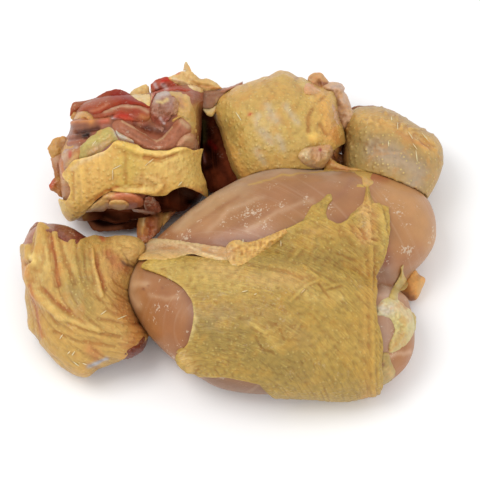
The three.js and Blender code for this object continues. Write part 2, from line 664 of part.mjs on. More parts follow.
// Every piece with its colour. A piece is cut clear of those above it.
const pieces = [
  ['breast_meat', breastMeat, 0xb2815d],
  ['breast_skin', breastSkin, 0xb59b57],
  ['leg_meat', legMeat, 0x8a4a38],
  ['leg_skin', legSkin, 0xb89354],
  ['thigh_meat', thighMeat, 0x9a5a48],
  ['thigh_skin', thighSkin, 0xccaf71],
  ['drum_meat', drumMeat, 0x9c6548],
  ['drum_skin', drumSkin, 0xb29567],
  ['back_body', backBody, 0x9a5a40],
  ['back_skin', backSkin, 0xd0a861],
  ['breast_skin_roll', skinRoll, 0xd0a46c],
  ['breast_top_fat', topFat, 0xcfb06c],
  ['breast_end_fat', endFat, 0xd5bb80],
  ['breast_fat_finger', fatFinger, 0xd5bb80],
  ['breast_low_fat', lowFat, 0xcfb06c],
  ['orange_tip', tip, 0xcf9a5a],
  ['leg_skin_roll', legRoll, 0xc09a5a],
  ['thigh_knuckle', knuckle, 0xc6a074],
  ['thigh_top_knob', topKnob, 0xc69a70],
  ['thigh_meat_end', meatEnd, 0xbd8f6b],
  ['back_red_muscle', redMuscle, 0xa3422c],
  ['back_red_band', redBand, 0xa86048],
  ['back_fat_wedge', fatWedge, 0xd2ab6d],
  ['back_hip_ridge', hipRidge, 0xb0503a],
  ['back_hip_knob', hipKnob, 0xab8c70],
  ['back_fat_flap', fatFlap, 0xd8b26a],
  ['back_fat_band', fatBand, 0xd0a45c],
  ['back_meat_strip', meatStrip, 0x997659],
  ['back_strip_fat', stripFat, 0xcfa860],
  ['back_ledge', ledge, 0xad7151],
  ['back_joint_end', jointEnd, 0xc08060],
  ['back_membrane', membrane, 0xc4ac68],
  ['back_side_flap', sideFlap, 0xb88a50],
  ['back_side_meat', sideMeat, 0xb87c50],
  ['back_organ', organ, 0xcb8b5b],
  ['back_organ_fat', organFat, 0xd4a45c],
  ['back_inner_flap', innerFlap, 0xb06a4c],
  ['back_lower_wall', lowerWall, 0x7a4a2a],
  ['back_inner_wall', innerWall, 0x48200f],
  ['neck_strand', neck, 0x8a4e2e],
];

const ROUGHNESS = 0.45;
const group = new THREE.Group();
const finished = [];
for (const [name, geometry, color] of pieces) {
  const carved = carve(geometry, finished);
  finished.push(carved);
  const mesh = new THREE.Mesh(carved, new THREE.MeshStandardMaterial({ color, roughness: ROUGHNESS }));
  mesh.name = name;
  mesh.position.set(-CENTRE[0], -CENTRE[1], 0);
  group.add(mesh);
}
export default group;
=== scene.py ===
# %% [markdown]
# # A whole chicken, cut up and heaped
# The heap is raw meat and skin: a breast in front, the back with its bones behind it on the left, a
# thigh and a drumstick behind it, and a leg piece at its left. Everything on it is soft and wet, so it
# has no flat face and no straight edge. We build each piece as a surface worked out by a formula,
# give it relief as fine as a wrinkle, and leave pores and fibres to the materials. We start by
# loading the solid model, which says where every piece lies.

import bpy
import numpy as np
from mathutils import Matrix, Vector


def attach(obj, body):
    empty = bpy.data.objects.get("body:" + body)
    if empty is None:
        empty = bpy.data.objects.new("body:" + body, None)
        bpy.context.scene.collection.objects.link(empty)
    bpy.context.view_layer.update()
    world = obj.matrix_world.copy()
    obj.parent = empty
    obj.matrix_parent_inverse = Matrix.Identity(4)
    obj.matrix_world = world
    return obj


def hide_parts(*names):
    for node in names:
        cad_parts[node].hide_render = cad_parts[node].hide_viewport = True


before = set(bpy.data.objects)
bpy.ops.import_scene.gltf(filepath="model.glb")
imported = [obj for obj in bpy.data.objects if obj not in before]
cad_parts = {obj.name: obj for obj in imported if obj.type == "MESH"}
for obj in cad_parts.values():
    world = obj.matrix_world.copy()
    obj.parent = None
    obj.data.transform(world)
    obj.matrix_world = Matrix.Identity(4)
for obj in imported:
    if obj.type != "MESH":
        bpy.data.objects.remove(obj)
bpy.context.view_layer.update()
print("solids to dress:", len(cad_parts))

# %% [markdown]
# ## The line of sight
# Wrinkles and stains are easiest to place where the eye sees them. So the heap's places are written
# as [across, up], in millimetres, on a plane that faces the eye, with the middle of the view at zero.
# Three small functions turn such a place into a point of the heap and back. They work on whole arrays.

# %% Places in the view
VIEW_TILT = np.radians(58.0)       # how far the line of sight falls below level
VIEW_DISTANCE = 1500.0             # from the eye to the middle of the view
VIEW_MIDDLE = np.array([3.3, 13.0, 0.0])  # that middle, in the model's own frame
MM = 0.001

ACROSS = np.array([1.0, 0.0, 0.0])
UP = np.array([0.0, np.sin(VIEW_TILT), np.cos(VIEW_TILT)])
TOWARDS = np.array([0.0, -np.cos(VIEW_TILT), np.sin(VIEW_TILT)])
VIEW_AXES = np.stack([ACROSS, UP, TOWARDS])


def at_depth(places, depth):
    """Points that show at places and lie a depth towards the eye: the place shrinks as the point nears."""
    places, depth = np.asarray(places, float), np.asarray(depth, float)
    near = ((VIEW_DISTANCE - depth) / VIEW_DISTANCE)[..., None]
    return places[..., :1] * near * ACROSS + places[..., 1:2] * near * UP + depth[..., None] * TOWARDS


def seen(across, up, height):
    """The point at a height over the floor that shows at [across, up]: eye plus sight until z = height."""
    sight = (across * ACROSS + up * UP) / VIEW_DISTANCE - TOWARDS
    eye = TOWARDS * VIEW_DISTANCE
    return eye + sight * (height - eye[2]) / sight[..., 2:]


def picture(points):
    """Where points show: their parts across and up, divided by how near the eye they are."""
    shrink = VIEW_DISTANCE / (VIEW_DISTANCE - points @ TOWARDS)
    return np.stack([points @ ACROSS * shrink, points @ UP * shrink], -1)


print("a point 40 mm up over the middle of the view shows at", picture(seen(0.0, 0.0, 40.0)).round(3))

# %% [markdown]
# ## Even randomness
# Flesh is never even. One table of random numbers, filled once from a fixed seed, gives a smooth
# noise at any size: the same seed gives the same heap each time. The helpers beside it are a soft
# step, the distance to a path drawn on the view, folds along such paths, and wrinkles in arcs.

# %% Noise, steps and paths
TABLE = 64
NOISE_START = 1000                                  # keeps all places of the noise above zero
SEED_STEP = np.array([7.31, 3.17, 5.53])            # how far apart the noises of two seeds lie
WANDERS = ((18.0, 2.5), (5.0, 0.7))                 # sizes and reaches of the waver in arcs
random_table = np.random.default_rng(7).random((TABLE, TABLE, TABLE))


def unit(vectors):
    """Vectors with their length made one."""
    return vectors / (np.linalg.norm(vectors, axis=-1, keepdims=True) + 1e-12)


def soft_step(values, low, high):
    """0 below low, 1 above high, and 3t^2 - 2t^3 between them."""
    t = np.clip((values - low) / (high - low), 0, 1)
    return t * t * (3 - 2 * t)


def noise(points, size, seed=0):
    """Smooth noise from -1 to 1: random corners of a lattice, size apart, blended by soft steps."""
    places = np.asarray(points, float) / size
    if places.shape[-1] == 2:
        places = np.concatenate([places, np.zeros_like(places[..., :1])], -1)
    places = places + seed * SEED_STEP + NOISE_START
    corner = np.floor(places).astype(int)
    t = places - corner
    t = t * t * (3 - 2 * t)
    total = 0
    for i in (0, 1):
        for j in (0, 1):
            for k in (0, 1):
                share = np.abs(1 - i - t[..., 0]) * np.abs(1 - j - t[..., 1]) * np.abs(1 - k - t[..., 2])
                x, y, z = ((corner + [i, j, k]) % TABLE).T
                total = total + share * random_table[x, y, z].T
    return total * 2 - 1


def rough(points, size, seed=0):
    """Noise with finer noise on it: three sizes, each half as large and half as strong."""
    return sum(noise(points, size / 2 ** n, seed + n) / 2 ** n for n in range(3)) / 1.75


def path_distance(places, path):
    """Least distance from places to the straight runs of a path; a path of one place is a dot."""
    path = np.asarray(path, float)
    starts, ends = (path[:-1], path[1:]) if len(path) > 1 else (path, path)
    nearest = np.full(places.shape[:-1], np.inf)
    for start, end in zip(starts, ends):
        run = end - start
        length = run @ run
        t = np.clip((places - start) @ run / length, 0, 1) if length else np.zeros(places.shape[:-1])
        nearest = np.minimum(nearest, np.linalg.norm(places - start - t[..., None] * run, axis=-1))
    return nearest


def relief(places, folds):
    """Height of ridges and hollows: each is height * exp(-(distance / width)^2) from its path."""
    height = np.zeros(places.shape[:-1])
    for path, width, rise in folds:
        height += rise * np.exp(-(path_distance(places, path) / width) ** 2)
    return height


def round_about(places, centre, cut=1):
    """Distance from a centre, and millimetres along the circle, whose count starts straight above the
    centre, or straight below it if cut is -1, where no skin lies."""
    away = places - np.asarray(centre, float)
    radius = np.linalg.norm(away, axis=-1)
    return radius, np.arctan2(away[..., 0], -cut * away[..., 1]) * radius.mean()


def arcs(places, centre, spacing, length, seed=0, cut=1):
    """Wrinkles round a centre: soft ridges with sharp valleys, |noise| of a noise that is stretched along
    circles about it."""
    radius, along = round_about(places, centre, cut)
    wander = sum(noise(places, size, seed + 3 + n) * reach for n, (size, reach) in enumerate(WANDERS))
    wave = noise(np.stack([(radius + wander) / spacing, along / length], -1), 1.0, seed)
    return 3 * np.minimum(np.abs(wave), 0.5) - 0.7


print("noise runs from", round(float(noise(np.random.default_rng(1).random((999, 3)) * 99, 5.0).min()), 2))

# %% [markdown]
# ## Smooth curves
# A roll of skin or the torn side of a sheet follows a curve through a few places. The curve passes
# through every place and bends evenly between them, and points are taken at even steps along it.

# %% Curves through a few places
def smooth_path(points, shares):
    """Points at shares of the arc length of a smooth curve. Between two given points it is a cubic,
    and its end slopes weigh the neighbours by the square roots of their distances."""
    points = np.asarray(points, float)
    ends = np.concatenate([[2 * points[0] - points[1]], points, [2 * points[-1] - points[-2]]])
    gaps = np.sqrt(np.linalg.norm(np.diff(ends, axis=0), axis=1))[:, None] + 1e-9
    p0, p1, p2, p3 = ends[:-3], ends[1:-2], ends[2:-1], ends[3:]
    d0, d1, d2 = gaps[:-2], gaps[1:-1], gaps[2:]
    slope1 = ((p1 - p0) / d0 - (p2 - p0) / (d0 + d1) + (p2 - p1) / d1) * d1
    slope2 = ((p2 - p1) / d1 - (p3 - p1) / (d1 + d2) + (p3 - p2) / d2) * d1
    t = np.linspace(0, 1, 40)[:, None, None]
    line = p1 + t * slope1 + t ** 2 * (3 * (p2 - p1) - 2 * slope1 - slope2) \
        + t ** 3 * (2 * (p1 - p2) + slope1 + slope2)
    line = line.transpose(1, 0, 2).reshape(-1, points.shape[1])
    run = np.concatenate([[0], np.cumsum(np.linalg.norm(np.diff(line, axis=0), axis=1))])
    run /= run[-1]
    return np.stack([np.interp(shares, run, line[:, axis]) for axis in range(points.shape[1])], -1)


def around(values, turns):
    """Values of a closed list at part-turns, by a smooth curve through them."""
    values = np.asarray(values, float)
    count = len(values)
    place = np.mod(turns, 1) * count
    index = np.floor(place).astype(int)
    t = place - index
    a, b, c, d = (values[(index + step) % count] for step in (-1, 0, 1, 2))
    return b + 0.5 * t * (c - a + t * (2 * a - 5 * b + 4 * c - d + t * (3 * (b - c) + d - a)))


print("halfway along a bend:", smooth_path([[0, 0], [10, 5], [20, 0]], [0.5]).round(2))

# %% [markdown]
# ## A lump of flesh
# A cut of meat is a bag of a few muscles. We describe one by ellipsoids round a middle point: in each
# direction the surface lies at a smooth largest of the ways out of them, so a valley is left where two
# meet. Then it is widened across the line of sight until its outline is the one that is seen. A
# sculpted mesh could do the same, but a formula can be asked whether a point lies inside it, and
# that is how skin is laid on meat and neighbours are kept apart.

# %% The lump
SKIN = 1.8                  # thickness of the skin
CLEAR = 1.5                 # from the meat to the skin over it
TOUCH = 0.12                # between neighbours where one is pressed by the other
OVER_SKIN = SKIN + CLEAR + TOUCH
BLEND = 14.0                # how sharply ellipsoids meet
RIM_STEPS = 72              # directions in which a silhouette is measured


class Lump:
    """Distance from the middle along direction D is the p-norm of each ellipsoid's way out,
    (D.C + sqrt((D.C)^2 - |D|^2 (|C|^2 - 1))) / |D|^2, with D and C divided by its half sizes."""

    def __init__(self, middle, lobes, outline=None, folds=(), blend=BLEND, coat=0.0, facing=False):
        self.middle = np.asarray(middle, float)
        self.lobes = []
        for at, half, turn in lobes:
            c, s = np.cos(np.radians(-turn)), np.sin(np.radians(-turn))
            unturn = np.array([[c, -s, 0], [s, c, 0], [0, 0, 1]])
            spin = unturn @ VIEW_AXES if facing else unturn
            self.lobes.append((np.array(at, float), np.array(half, float), spin))
        self.folds, self.blend, self.fit = folds, blend, None
        turns = np.arange(RIM_STEPS) / RIM_STEPS
        angles = np.arange(0.5, 2.6, 0.02)
        widths = self.reach(self.direction(turns[:, None], angles[None])) * np.sin(angles)
        self.edges = angles[widths.argmax(1)]
        if outline is not None:
            self.fit = (around(outline, turns) - coat) / widths.max(1)

    def direction(self, turn, angle):
        """Unit vector at a part-turn round the line of sight and an angle away from it."""
        turn, angle = np.broadcast_arrays(np.asarray(turn) * 2 * np.pi, angle)
        flat = np.stack([np.sin(angle) * np.cos(turn), np.sin(angle) * np.sin(turn), np.cos(angle)], -1)
        return flat @ VIEW_AXES

    def reach(self, directions):
        """Distance from the middle to the surface before it is fitted."""
        total = 0
        for at, half, spin in self.lobes:
            d = directions @ spin.T / half
            c = spin @ at / half
            dc, dd = d @ c, (d * d).sum(-1)
            total = total + ((dc + np.sqrt(dc * dc - dd * (c @ c - 1))) / dd) ** self.blend
        return total ** (1 / self.blend)

    def stretch(self, directions):
        """How much wider it gets across the view: its outline's own share at the rim, even in front."""
        if self.fit is None:
            return np.ones(directions.shape[:-1])
        x, y = directions @ ACROSS, directions @ UP
        own = around(self.fit, np.arctan2(y, x) / (2 * np.pi))
        return self.fit.mean() + (own - self.fit.mean()) * (x * x + y * y)

    def widen(self, points, grow):
        """Points with their parts across and up the view made larger by grow."""
        extra = (grow - 1)[..., None]
        return points + extra * ((points @ ACROSS)[..., None] * ACROSS + (points @ UP)[..., None] * UP)

    def point(self, directions, lift=0.0, folds=None):
        """Points of the surface, raised along the way out by the folds and a lift, never below the floor."""
        start = directions * self.reach(directions)[..., None]
        place = self.widen(start, self.stretch(directions))
        outward = unit(place)
        place = place + self.middle
        front = soft_step(outward @ TOWARDS, -0.2, 0.3)
        raised = relief(picture(place), self.folds if folds is None else folds) * front + lift
        place = place + outward * raised[..., None]
        place[..., 2] = np.maximum(place[..., 2], 0)
        return place

    def holds(self, points, gap):
        """Whether points lie within a gap of its inside. Six rounds undo the fit to the outline."""
        offset = points - self.middle
        far = np.linalg.norm(offset, axis=-1)
        start = offset
        for _ in range(6 if self.fit is not None else 0):
            start = self.widen(offset, 1 / self.stretch(unit(start)))
        length = np.linalg.norm(start, axis=-1)
        depth = self.reach(start / length[..., None]) / length * far
        return far < depth + relief(picture(points), self.folds) + gap

    def locate(self, places):
        """Flat places, in a disc whose rim is the silhouette, of the directions that show at places.
        The disc's radius is tan(angle / 2), and a place beyond the silhouette wraps behind it."""
        places = np.asarray(places, float)
        depth = np.full(len(places), self.middle @ TOWARDS)
        for _ in range(6):
            near = (VIEW_DISTANCE - depth) / VIEW_DISTANCE
            x = places[:, 0] * near - self.middle @ ACROSS
            y = places[:, 1] * near - self.middle @ UP
            turn, width = np.arctan2(y, x) / (2 * np.pi), np.hypot(x, y)
            edge = around(self.edges, turn)
            widest = self.half_width(turn, edge)
            low, high = np.zeros(len(places)), edge.copy()
            for _ in range(30):
                angle = (low + high) / 2
                short = self.half_width(turn, angle) < width
                low, high = np.where(short, angle, low), np.where(short, high, angle)
            angle = np.where(width < widest, angle, edge + (width - widest) / widest)
            depth = self.middle @ TOWARDS + self.reach(self.direction(turn, angle)) * np.cos(angle)
        spread = np.tan(angle / 2)[:, None]
        return spread * np.stack([np.cos(turn * 2 * np.pi), np.sin(turn * 2 * np.pi)], -1)

    def half_width(self, turn, angle):
        """Distance across the view from the middle to the fitted surface."""
        directions = self.direction(turn, angle)
        return self.reach(directions) * np.sin(angle) * self.stretch(directions)

    def aim(self, flat):
        """Directions of flat places of the disc."""
        return self.direction(np.arctan2(flat[..., 1], flat[..., 0]) / (2 * np.pi),
                              2 * np.arctan(np.linalg.norm(flat, axis=-1)))


def onto(lump, places, lift):
    """Points that show at places and lie a lift clear of a lump, moved out until they are."""
    flat = lump.locate(places)
    turn = np.arctan2(flat[:, 1], flat[:, 0]) / (2 * np.pi)
    angle = np.minimum(2 * np.arctan(np.linalg.norm(flat, axis=-1)), around(lump.edges, turn))
    depth = lump.point(lump.direction(turn, angle), lift) @ TOWARDS
    for _ in range(400):
        inside = lump.holds(at_depth(places, depth), lift)
        if not inside.any():
            break
        depth = depth + 0.25 * inside
    return at_depth(places, depth)


def press(points, anchors, neighbours):
    """Points drawn back towards their anchors, by halving, until they are clear of each neighbour."""
    points = points.copy()
    anchors = np.broadcast_to(anchors, points.shape)

    def blocked(places):
        return np.any([other.holds(places, gap) for other, gap in neighbours], axis=0)

    stuck = np.nonzero(blocked(points))[0] if neighbours else []
    if len(stuck):
        start, end = anchors[stuck], points[stuck]
        inner, outer = np.zeros(len(stuck)), np.ones(len(stuck))
        for _ in range(14):
            middle = (inner + outer) / 2
            shut = blocked(start + (end - start) * middle[:, None])
            inner, outer = np.where(shut, inner, middle), np.where(shut, middle, outer)
        points[stuck] = start + (end - start) * inner[:, None]
    return points


print("a test lump reaches", Lump((0, 0, 20), [((0, 0, 0), (30, 20, 10), 0)]).reach(ACROSS).round(1), "mm")

# %% [markdown]
# ## Grids
# Four kinds of grid carry every piece. A ball made of six square patches has no pinched poles, so it
# suits a whole cut of meat. A four-sided sheet suits skin, with an upper and an under face and a
# rounded rim between them. A ribbon between two drawn edges suits torn fat and small muscles, and a
# ball that is drawn out along a path suits a quill.

# %% A ball of six patches
def cells_of(grid):
    """The four corners of each cell of a grid."""
    return np.stack([grid[:-1, :-1], grid[1:, :-1], grid[1:, 1:], grid[:-1, 1:]], -1).reshape(-1, 4)


def ball(rows):
    """Directions and faces of a cube's six sides, each a grid spaced by tangents so that the cells
    come out even on the ball. Points that the sides share are kept once."""
    side = np.tan(np.linspace(-1, 1, rows + 1) * np.pi / 4)
    a, b = np.meshgrid(side, side, indexing="ij")
    points, quads = [], []
    cell = np.arange((rows + 1) ** 2).reshape(rows + 1, rows + 1)
    for sign in (1, -1):
        for axis in range(3):
            out = np.zeros(3)
            out[axis] = sign
            first = np.roll(np.abs(out), 1)
            second = np.cross(out, first)
            quads.append(cells_of(cell) + len(points) * cell.size)
            points.append((out + a[..., None] * first + b[..., None] * second).reshape(-1, 3))
    points, quads = np.concatenate(points), np.concatenate(quads)
    _, keep, number = np.unique(points.round(6), axis=0, return_index=True, return_inverse=True)
    return unit(points[keep]), number.reshape(-1)[quads]


# %% A drawn-out ball
END_FULLNESS = 1.6          # how blunt a strand's ends are
NEARBY = 0.01               # share of a strand over which its direction is measured


def drawn_out(path, wide, steps, sides):
    """A closed round strand. At a polar angle, the share along the path is (1 - cos angle) / 2, and the
    ring there is as wide as the list says times the least of 1 and fullness * sin angle."""
    polar = np.linspace(0, np.pi, steps + 1)[1:-1]
    shares = (1 - np.cos(polar)) / 2
    middle = smooth_path(path, shares)
    ahead = smooth_path(path, np.minimum(shares + NEARBY, 1))
    tangent = unit(ahead - smooth_path(path, np.maximum(shares - NEARBY, 0)))
    out = unit(TOWARDS - (tangent @ TOWARDS)[:, None] * tangent)
    sideways = np.cross(tangent, out)
    knots = np.linspace(0, 1, len(wide))
    width = np.minimum(1, END_FULLNESS * np.sin(polar)) * np.interp(shares, knots, wide)
    turn = np.linspace(0, 2 * np.pi, sides, endpoint=False)[None, :, None]
    ring = (np.cos(turn) * sideways[:, None] + np.sin(turn) * out[:, None]) * width[:, None, None]
    points = (middle[:, None] + ring).reshape(-1, 3)
    points = np.concatenate([points, smooth_path(path, [0.0]), smooth_path(path, [1.0])])
    points[:, 2] = np.maximum(points[:, 2], 0)
    cell = np.arange((steps - 1) * sides).reshape(steps - 1, sides)
    after = np.roll(cell, -1, axis=1)
    quads = np.stack([cell[:-1], cell[1:], after[1:], after[:-1]], -1).reshape(-1, 4)
    caps = np.concatenate([
        np.stack([np.full(sides, cell.size), cell[0], after[0]], -1),
        np.stack([np.full(sides, cell.size + 1), after[-1], cell[-1]], -1)])
    return points, [quads, caps]


# %% A sheet of skin
RIM = 2.2                   # how far in from its sides a sheet reaches its full thickness
EDGE_FADE = 1.6             # how fast the inner rows lose the shape of the sides
DEEPEST_FOLD = -0.8         # millimetres, so that no fold reaches the meat
RIM_WRINKLES = 0.3          # share of the wrinkles' height that is left at a sheet's rim


def disc_grid(lump, sides, columns, rows, ragged):
    """Flat places of a grid between four sides, given as places from left to right and from top down.
    Each inner place is the even mixture of the straight sides, plus what each side bulges from
    straight, fading inwards. Noise makes the whole uneven."""
    u, v = np.linspace(0, 1, columns + 1), np.linspace(0, 1, rows + 1)
    curves = {name: smooth_path(lump.locate(sides[name]), v if name in ("left", "right") else u)
              for name in ("top", "right", "bottom", "left")}
    straight = {name: line[0] + (line[-1] - line[0]) * (v if name in ("left", "right") else u)[:, None]
                for name, line in curves.items()}
    bulge = {name: curves[name] - straight[name] for name in curves}
    u, v = u[:, None, None], v[None, :, None]
    flat = straight["top"][:, None] * (1 - v) + straight["bottom"][:, None] * v \
        + bulge["top"][:, None] * (1 - v) ** EDGE_FADE + bulge["bottom"][:, None] * v ** EDGE_FADE \
        + bulge["left"][None] * (1 - u) ** EDGE_FADE + bulge["right"][None] * u ** EDGE_FADE
    size = lump.half_width(0.0, around(lump.edges, 0.0))
    shift = np.stack([rough(flat * size, 7.0, 11), rough(flat * size, 7.0, 23)], -1)
    return flat + ragged * shift / size


def from_sides(points):
    """Distance of each grid point from the nearest side, along the grid's own lines."""
    nearest = []
    for axis in (0, 1):
        steps = np.linalg.norm(np.diff(points, axis=axis), axis=-1)
        run = np.concatenate([np.zeros_like(np.take(steps, [0], axis)), np.cumsum(steps, axis)], axis)
        nearest += [run, np.take(run, [-1], axis) - run]
    return np.min(nearest, axis=0)


def sheet(lump, sides, columns, rows, folds, wrinkles, neighbours=(), ragged=0.7):
    """Upper and under face of a sheet on a lump. The upper face is raised by the gap, the folds, the
    wrinkles and the thickness; the under face is it, moved in by the thickness. Near the sides the
    thickness is a quarter circle's, sqrt(1 - (1 - distance / rim)^2)."""
    aim = lump.aim(disc_grid(lump, sides, columns, rows, ragged))
    plain = lump.point(aim, 0.0, folds=())
    places = picture(plain)
    full = 1 - np.clip(from_sides(plain) / RIM, 0, 1)
    full = np.sqrt(np.maximum(1 - full ** 2, 0))
    lift = CLEAR + np.maximum(relief(places, folds), DEEPEST_FOLD) + SKIN / 2 * (1 + full)
    lift = lift + wrinkles(places) * (RIM_WRINKLES + (1 - RIM_WRINKLES) * full)
    upper = press(lump.point(aim, lift).reshape(-1, 3), lump.middle, neighbours).reshape(plain.shape)
    return two_faced(upper, upper + unit(lump.middle - upper) * SKIN * full[..., None])


def two_faced(upper, under):
    """A closed surface of two grids of points that share the points of their four borders."""
    number = np.arange(upper[..., 0].size).reshape(upper.shape[:2])
    below = number + number.size
    for border in ((0, slice(None)), (-1, slice(None)), (slice(None), 0), (slice(None), -1)):
        below[border] = number[border]
    faces = []
    for grid, order in ((number, (0, 3, 2, 1)), (below, (0, 1, 2, 3))):
        faces.append(cells_of(grid)[:, order])
    used, number = np.unique(np.concatenate(faces), return_inverse=True)
    return np.concatenate([upper.reshape(-1, 3), under.reshape(-1, 3)])[used], number.reshape(-1, 4)


# %% A ribbon
SUNK = -0.5                 # how far a ribbon's rim lies inside what carries it


def draped(lump, gap=SUNK):
    """For places of the view: the depth of what lies a gap over a lump."""
    return lambda places: onto(lump, places.reshape(-1, 2), gap).reshape(*places.shape[:-1], 3) @ TOWARDS


def at_heights(left, right):
    """For places of the view: the depth at heights over the floor that change evenly from left to right."""
    def depth(places):
        x = places[..., 0]
        height = left + (right - left) * (x - x.min()) / (x.max() - x.min())
        return seen(x[..., None], places[..., 1:2], height[..., None]) @ TOWARDS
    return depth


def ribbon(carrier, first, second, thick, folds=(), ribs=(0, 0.0), ragged=0.6, lumps=0.3, columns=64, rows=26,
           sink=0.9, soft=0.75, seed=0):
    """A flat piece between two edges drawn on the view. At shares u along them and v from one to the
    other its front is thick * ((1 - (2v - 1)^2) (1 - (2u - 1)^6))^soft over what carries it, made uneven
    by noise, ribs and folds, and its back is a little inside."""
    u = np.linspace(0, 1, columns + 1)
    v = (1 - np.cos(np.linspace(0, np.pi, rows + 1))) / 2
    first, second = smooth_path(first, u), smooth_path(second, u)
    ahead, across = np.diff(first, axis=0), (second - first)[1:]
    if (ahead[:, 0] * across[:, 1] - ahead[:, 1] * across[:, 0]).sum() > 0:
        first, second = second, first
    places = first[:, None] + v[:, None] * (second - first)[:, None]
    places = places + ragged * np.stack([rough(places, 3.0, seed + 1), rough(places, 3.0, seed + 2)], -1)
    swell = (np.maximum(1 - (2 * v - 1) ** 2, 0) * np.maximum(1 - (2 * u[:, None] - 1) ** 6, 0)) ** soft
    count, rise = ribs
    wave = rise * np.sin(2 * np.pi * count * (u[:, None] + 0.1 * v) + 2.2 * noise(places, 5.0, seed))
    bumps = lumps * (rough(places, 5.0, seed) + 0.5 * noise(places, 1.8, seed + 3))
    height = swell * (thick * (1 + bumps) + wave + relief(places, folds))
    depth = carrier(places)
    return two_faced(at_depth(places, depth + height), at_depth(places, depth - sink * swell))


print("a ball of 8 rows has", len(ball(8)[0]), "points")

# %% [markdown]
# ## Paint by place
# Raw meat changes colour from spot to spot: blood, fat, fascia and thin skin each leave a stain. Colour
# is kept on the points themselves, as an attribute that goes wherever the mesh goes. It starts as
# one tone and takes soft dabs along short paths. Noise shifts the dabs' edges, so no stain is round.
# Some dabs are painted shade in hollows and grooves, and some are painted highlights; they say so
# where they stand. Last, every piece takes painted shade in its hollows and painted light on its ridges.

# %% Tones and dabs
STUDIO_LIGHT = 1.33         # how much light the studio's lamps and world give together
GLOSS_LIGHT = 0.03          # and how much of it the wet film throws back, whatever lies under it
DARK_LIGHT = 0.08           # a tone whose light is near this is dark
# Painted shade and light for every piece: hollows darkened and warmed, ridges made paler.
HOLLOW_SHADE = (0.20, 0.42, 0.60)  # the shares of red, green and blue that the deepest hollow loses
RIDGE_LIGHT = 0.24           # and the share that the highest ridge gains
HOLLOWS = ((3, 0.07, 0.55), (24, 0.5, 0.5))  # rounds over neighbours, depth in millimetres, and weight


def linear(tone):
    """The share of light that a surface must send back to show as a tone of 0 to 255. A screen's value
    is first made linear; then the film's own light is taken off, less of it where the tone is dark,
    and the rest is divided by the studio's light."""
    value = np.asarray(tone, float) / 255
    light = np.where(value <= 0.04045, value / 12.92, ((value + 0.055) / 1.055) ** 2.4)
    return light * (1 - GLOSS_LIGHT / (light + DARK_LIGHT)) / STUDIO_LIGHT


def paint(points, base, dabs=(), seed=0, wander=1.6):
    """Colour of each point: base, and over it each dab's tone by strength * exp(-(distance / width)^2),
    on the side that faces the view. Places are first moved a little by noise."""
    places = picture(points)
    shift = np.stack([rough(points, 6.0, seed + 1), rough(points, 6.0, seed + 2)], -1)
    places = places + wander * shift
    colour = np.tile(linear(base), (len(points), 1))
    for tone, path, width, strength in dabs:
        share = strength * np.exp(-(path_distance(places, path) / width) ** 2)
        colour += share[:, None] * (linear(tone) - colour)
    return colour


def dab_mask(points, dabs, base=0.0):
    """A number for each point: base, and each dab's value by its softness, as in paint."""
    places = picture(points)
    mask = np.full(len(points), base)
    for value, path, width in dabs:
        mask += np.exp(-(path_distance(places, path) / width) ** 2) * (value - mask)
    return mask


def hollowness(points, faces, rounds):
    """How far each point lies below its surroundings: the mean of its neighbours, taken some rounds over,
    less the point itself, along the normal."""
    ends = np.concatenate([np.stack([part, np.roll(part, -1, axis=1)], -1).reshape(-1, 2) for part in faces])
    here, there = np.concatenate([ends, ends[:, ::-1]]).T
    count = np.bincount(here, minlength=len(points))
    smooth = points
    for _ in range(rounds):
        smooth = np.stack([np.bincount(here, smooth[there, axis], len(points)) for axis in range(3)], -1)
        smooth /= count[:, None]
    normal = np.zeros_like(points)
    for part in faces:
        flat = np.cross(points[part[:, 2]] - points[part[:, 0]], points[part[:, -1]] - points[part[:, 1]])
        for corner in part.T:
            normal += np.stack([np.bincount(corner, flat[:, axis], len(points)) for axis in range(3)], -1)
    return ((smooth - points) * unit(normal)).sum(-1)


def shade_hollows_light_ridges(points, faces, tone, strength):
    """Painted shade and light: tones made deeper and warmer in hollows, as painted shade, and paler
    on ridges, as painted light, by hollowness over a near and a far neighbourhood."""
    share = sum(weight * np.tanh(hollowness(points, faces, rounds) / depth)
                for rounds, depth, weight in HOLLOWS)[:, None] * strength
    return tone * np.where(share > 0, 1 - share * np.array(HOLLOW_SHADE), 1 - share * RIDGE_LIGHT)


def swirl(points, centre, cut=1):
    """Two coordinates in millimetres that run across and along circles round a place of the view."""
    return np.stack([*round_about(picture(points), centre, cut), points @ TOWARDS], -1)


# %% From arrays to a piece
made = {}


def build_mesh(name, points, faces, inner):
    """A smooth mesh in metres. Faces whose first point is inner get its second material."""
    corners = np.concatenate([part.reshape(-1) for part in faces])
    sizes = np.concatenate([np.full(len(part), part.shape[1]) for part in faces])
    mesh = bpy.data.meshes.new(name)
    mesh.vertices.add(len(points))
    mesh.vertices.foreach_set("co", ((points + VIEW_MIDDLE) * MM).astype(np.float32).ravel())
    mesh.loops.add(len(corners))
    mesh.loops.foreach_set("vertex_index", corners.astype(np.int32))
    mesh.polygons.add(len(sizes))
    mesh.polygons.foreach_set("loop_start", (np.cumsum(sizes) - sizes).astype(np.int32))
    if inner is not None:
        inside = np.concatenate([inner[part[:, 0]] for part in faces])
        mesh.polygons.foreach_set("material_index", inside.astype(np.int32))
    mesh.update(calc_edges=True)
    mesh.validate()
    mesh.polygons.foreach_set("use_smooth", np.ones(len(mesh.polygons), bool))
    made[name] = int((sizes - 2).sum())
    return mesh


def carry(mesh, name, kind, field, values):
    """Lets the mesh's points carry values under a name."""
    data = mesh.attributes.new(name, kind, "POINT").data
    data.foreach_set(field, values.astype(np.float32).ravel())


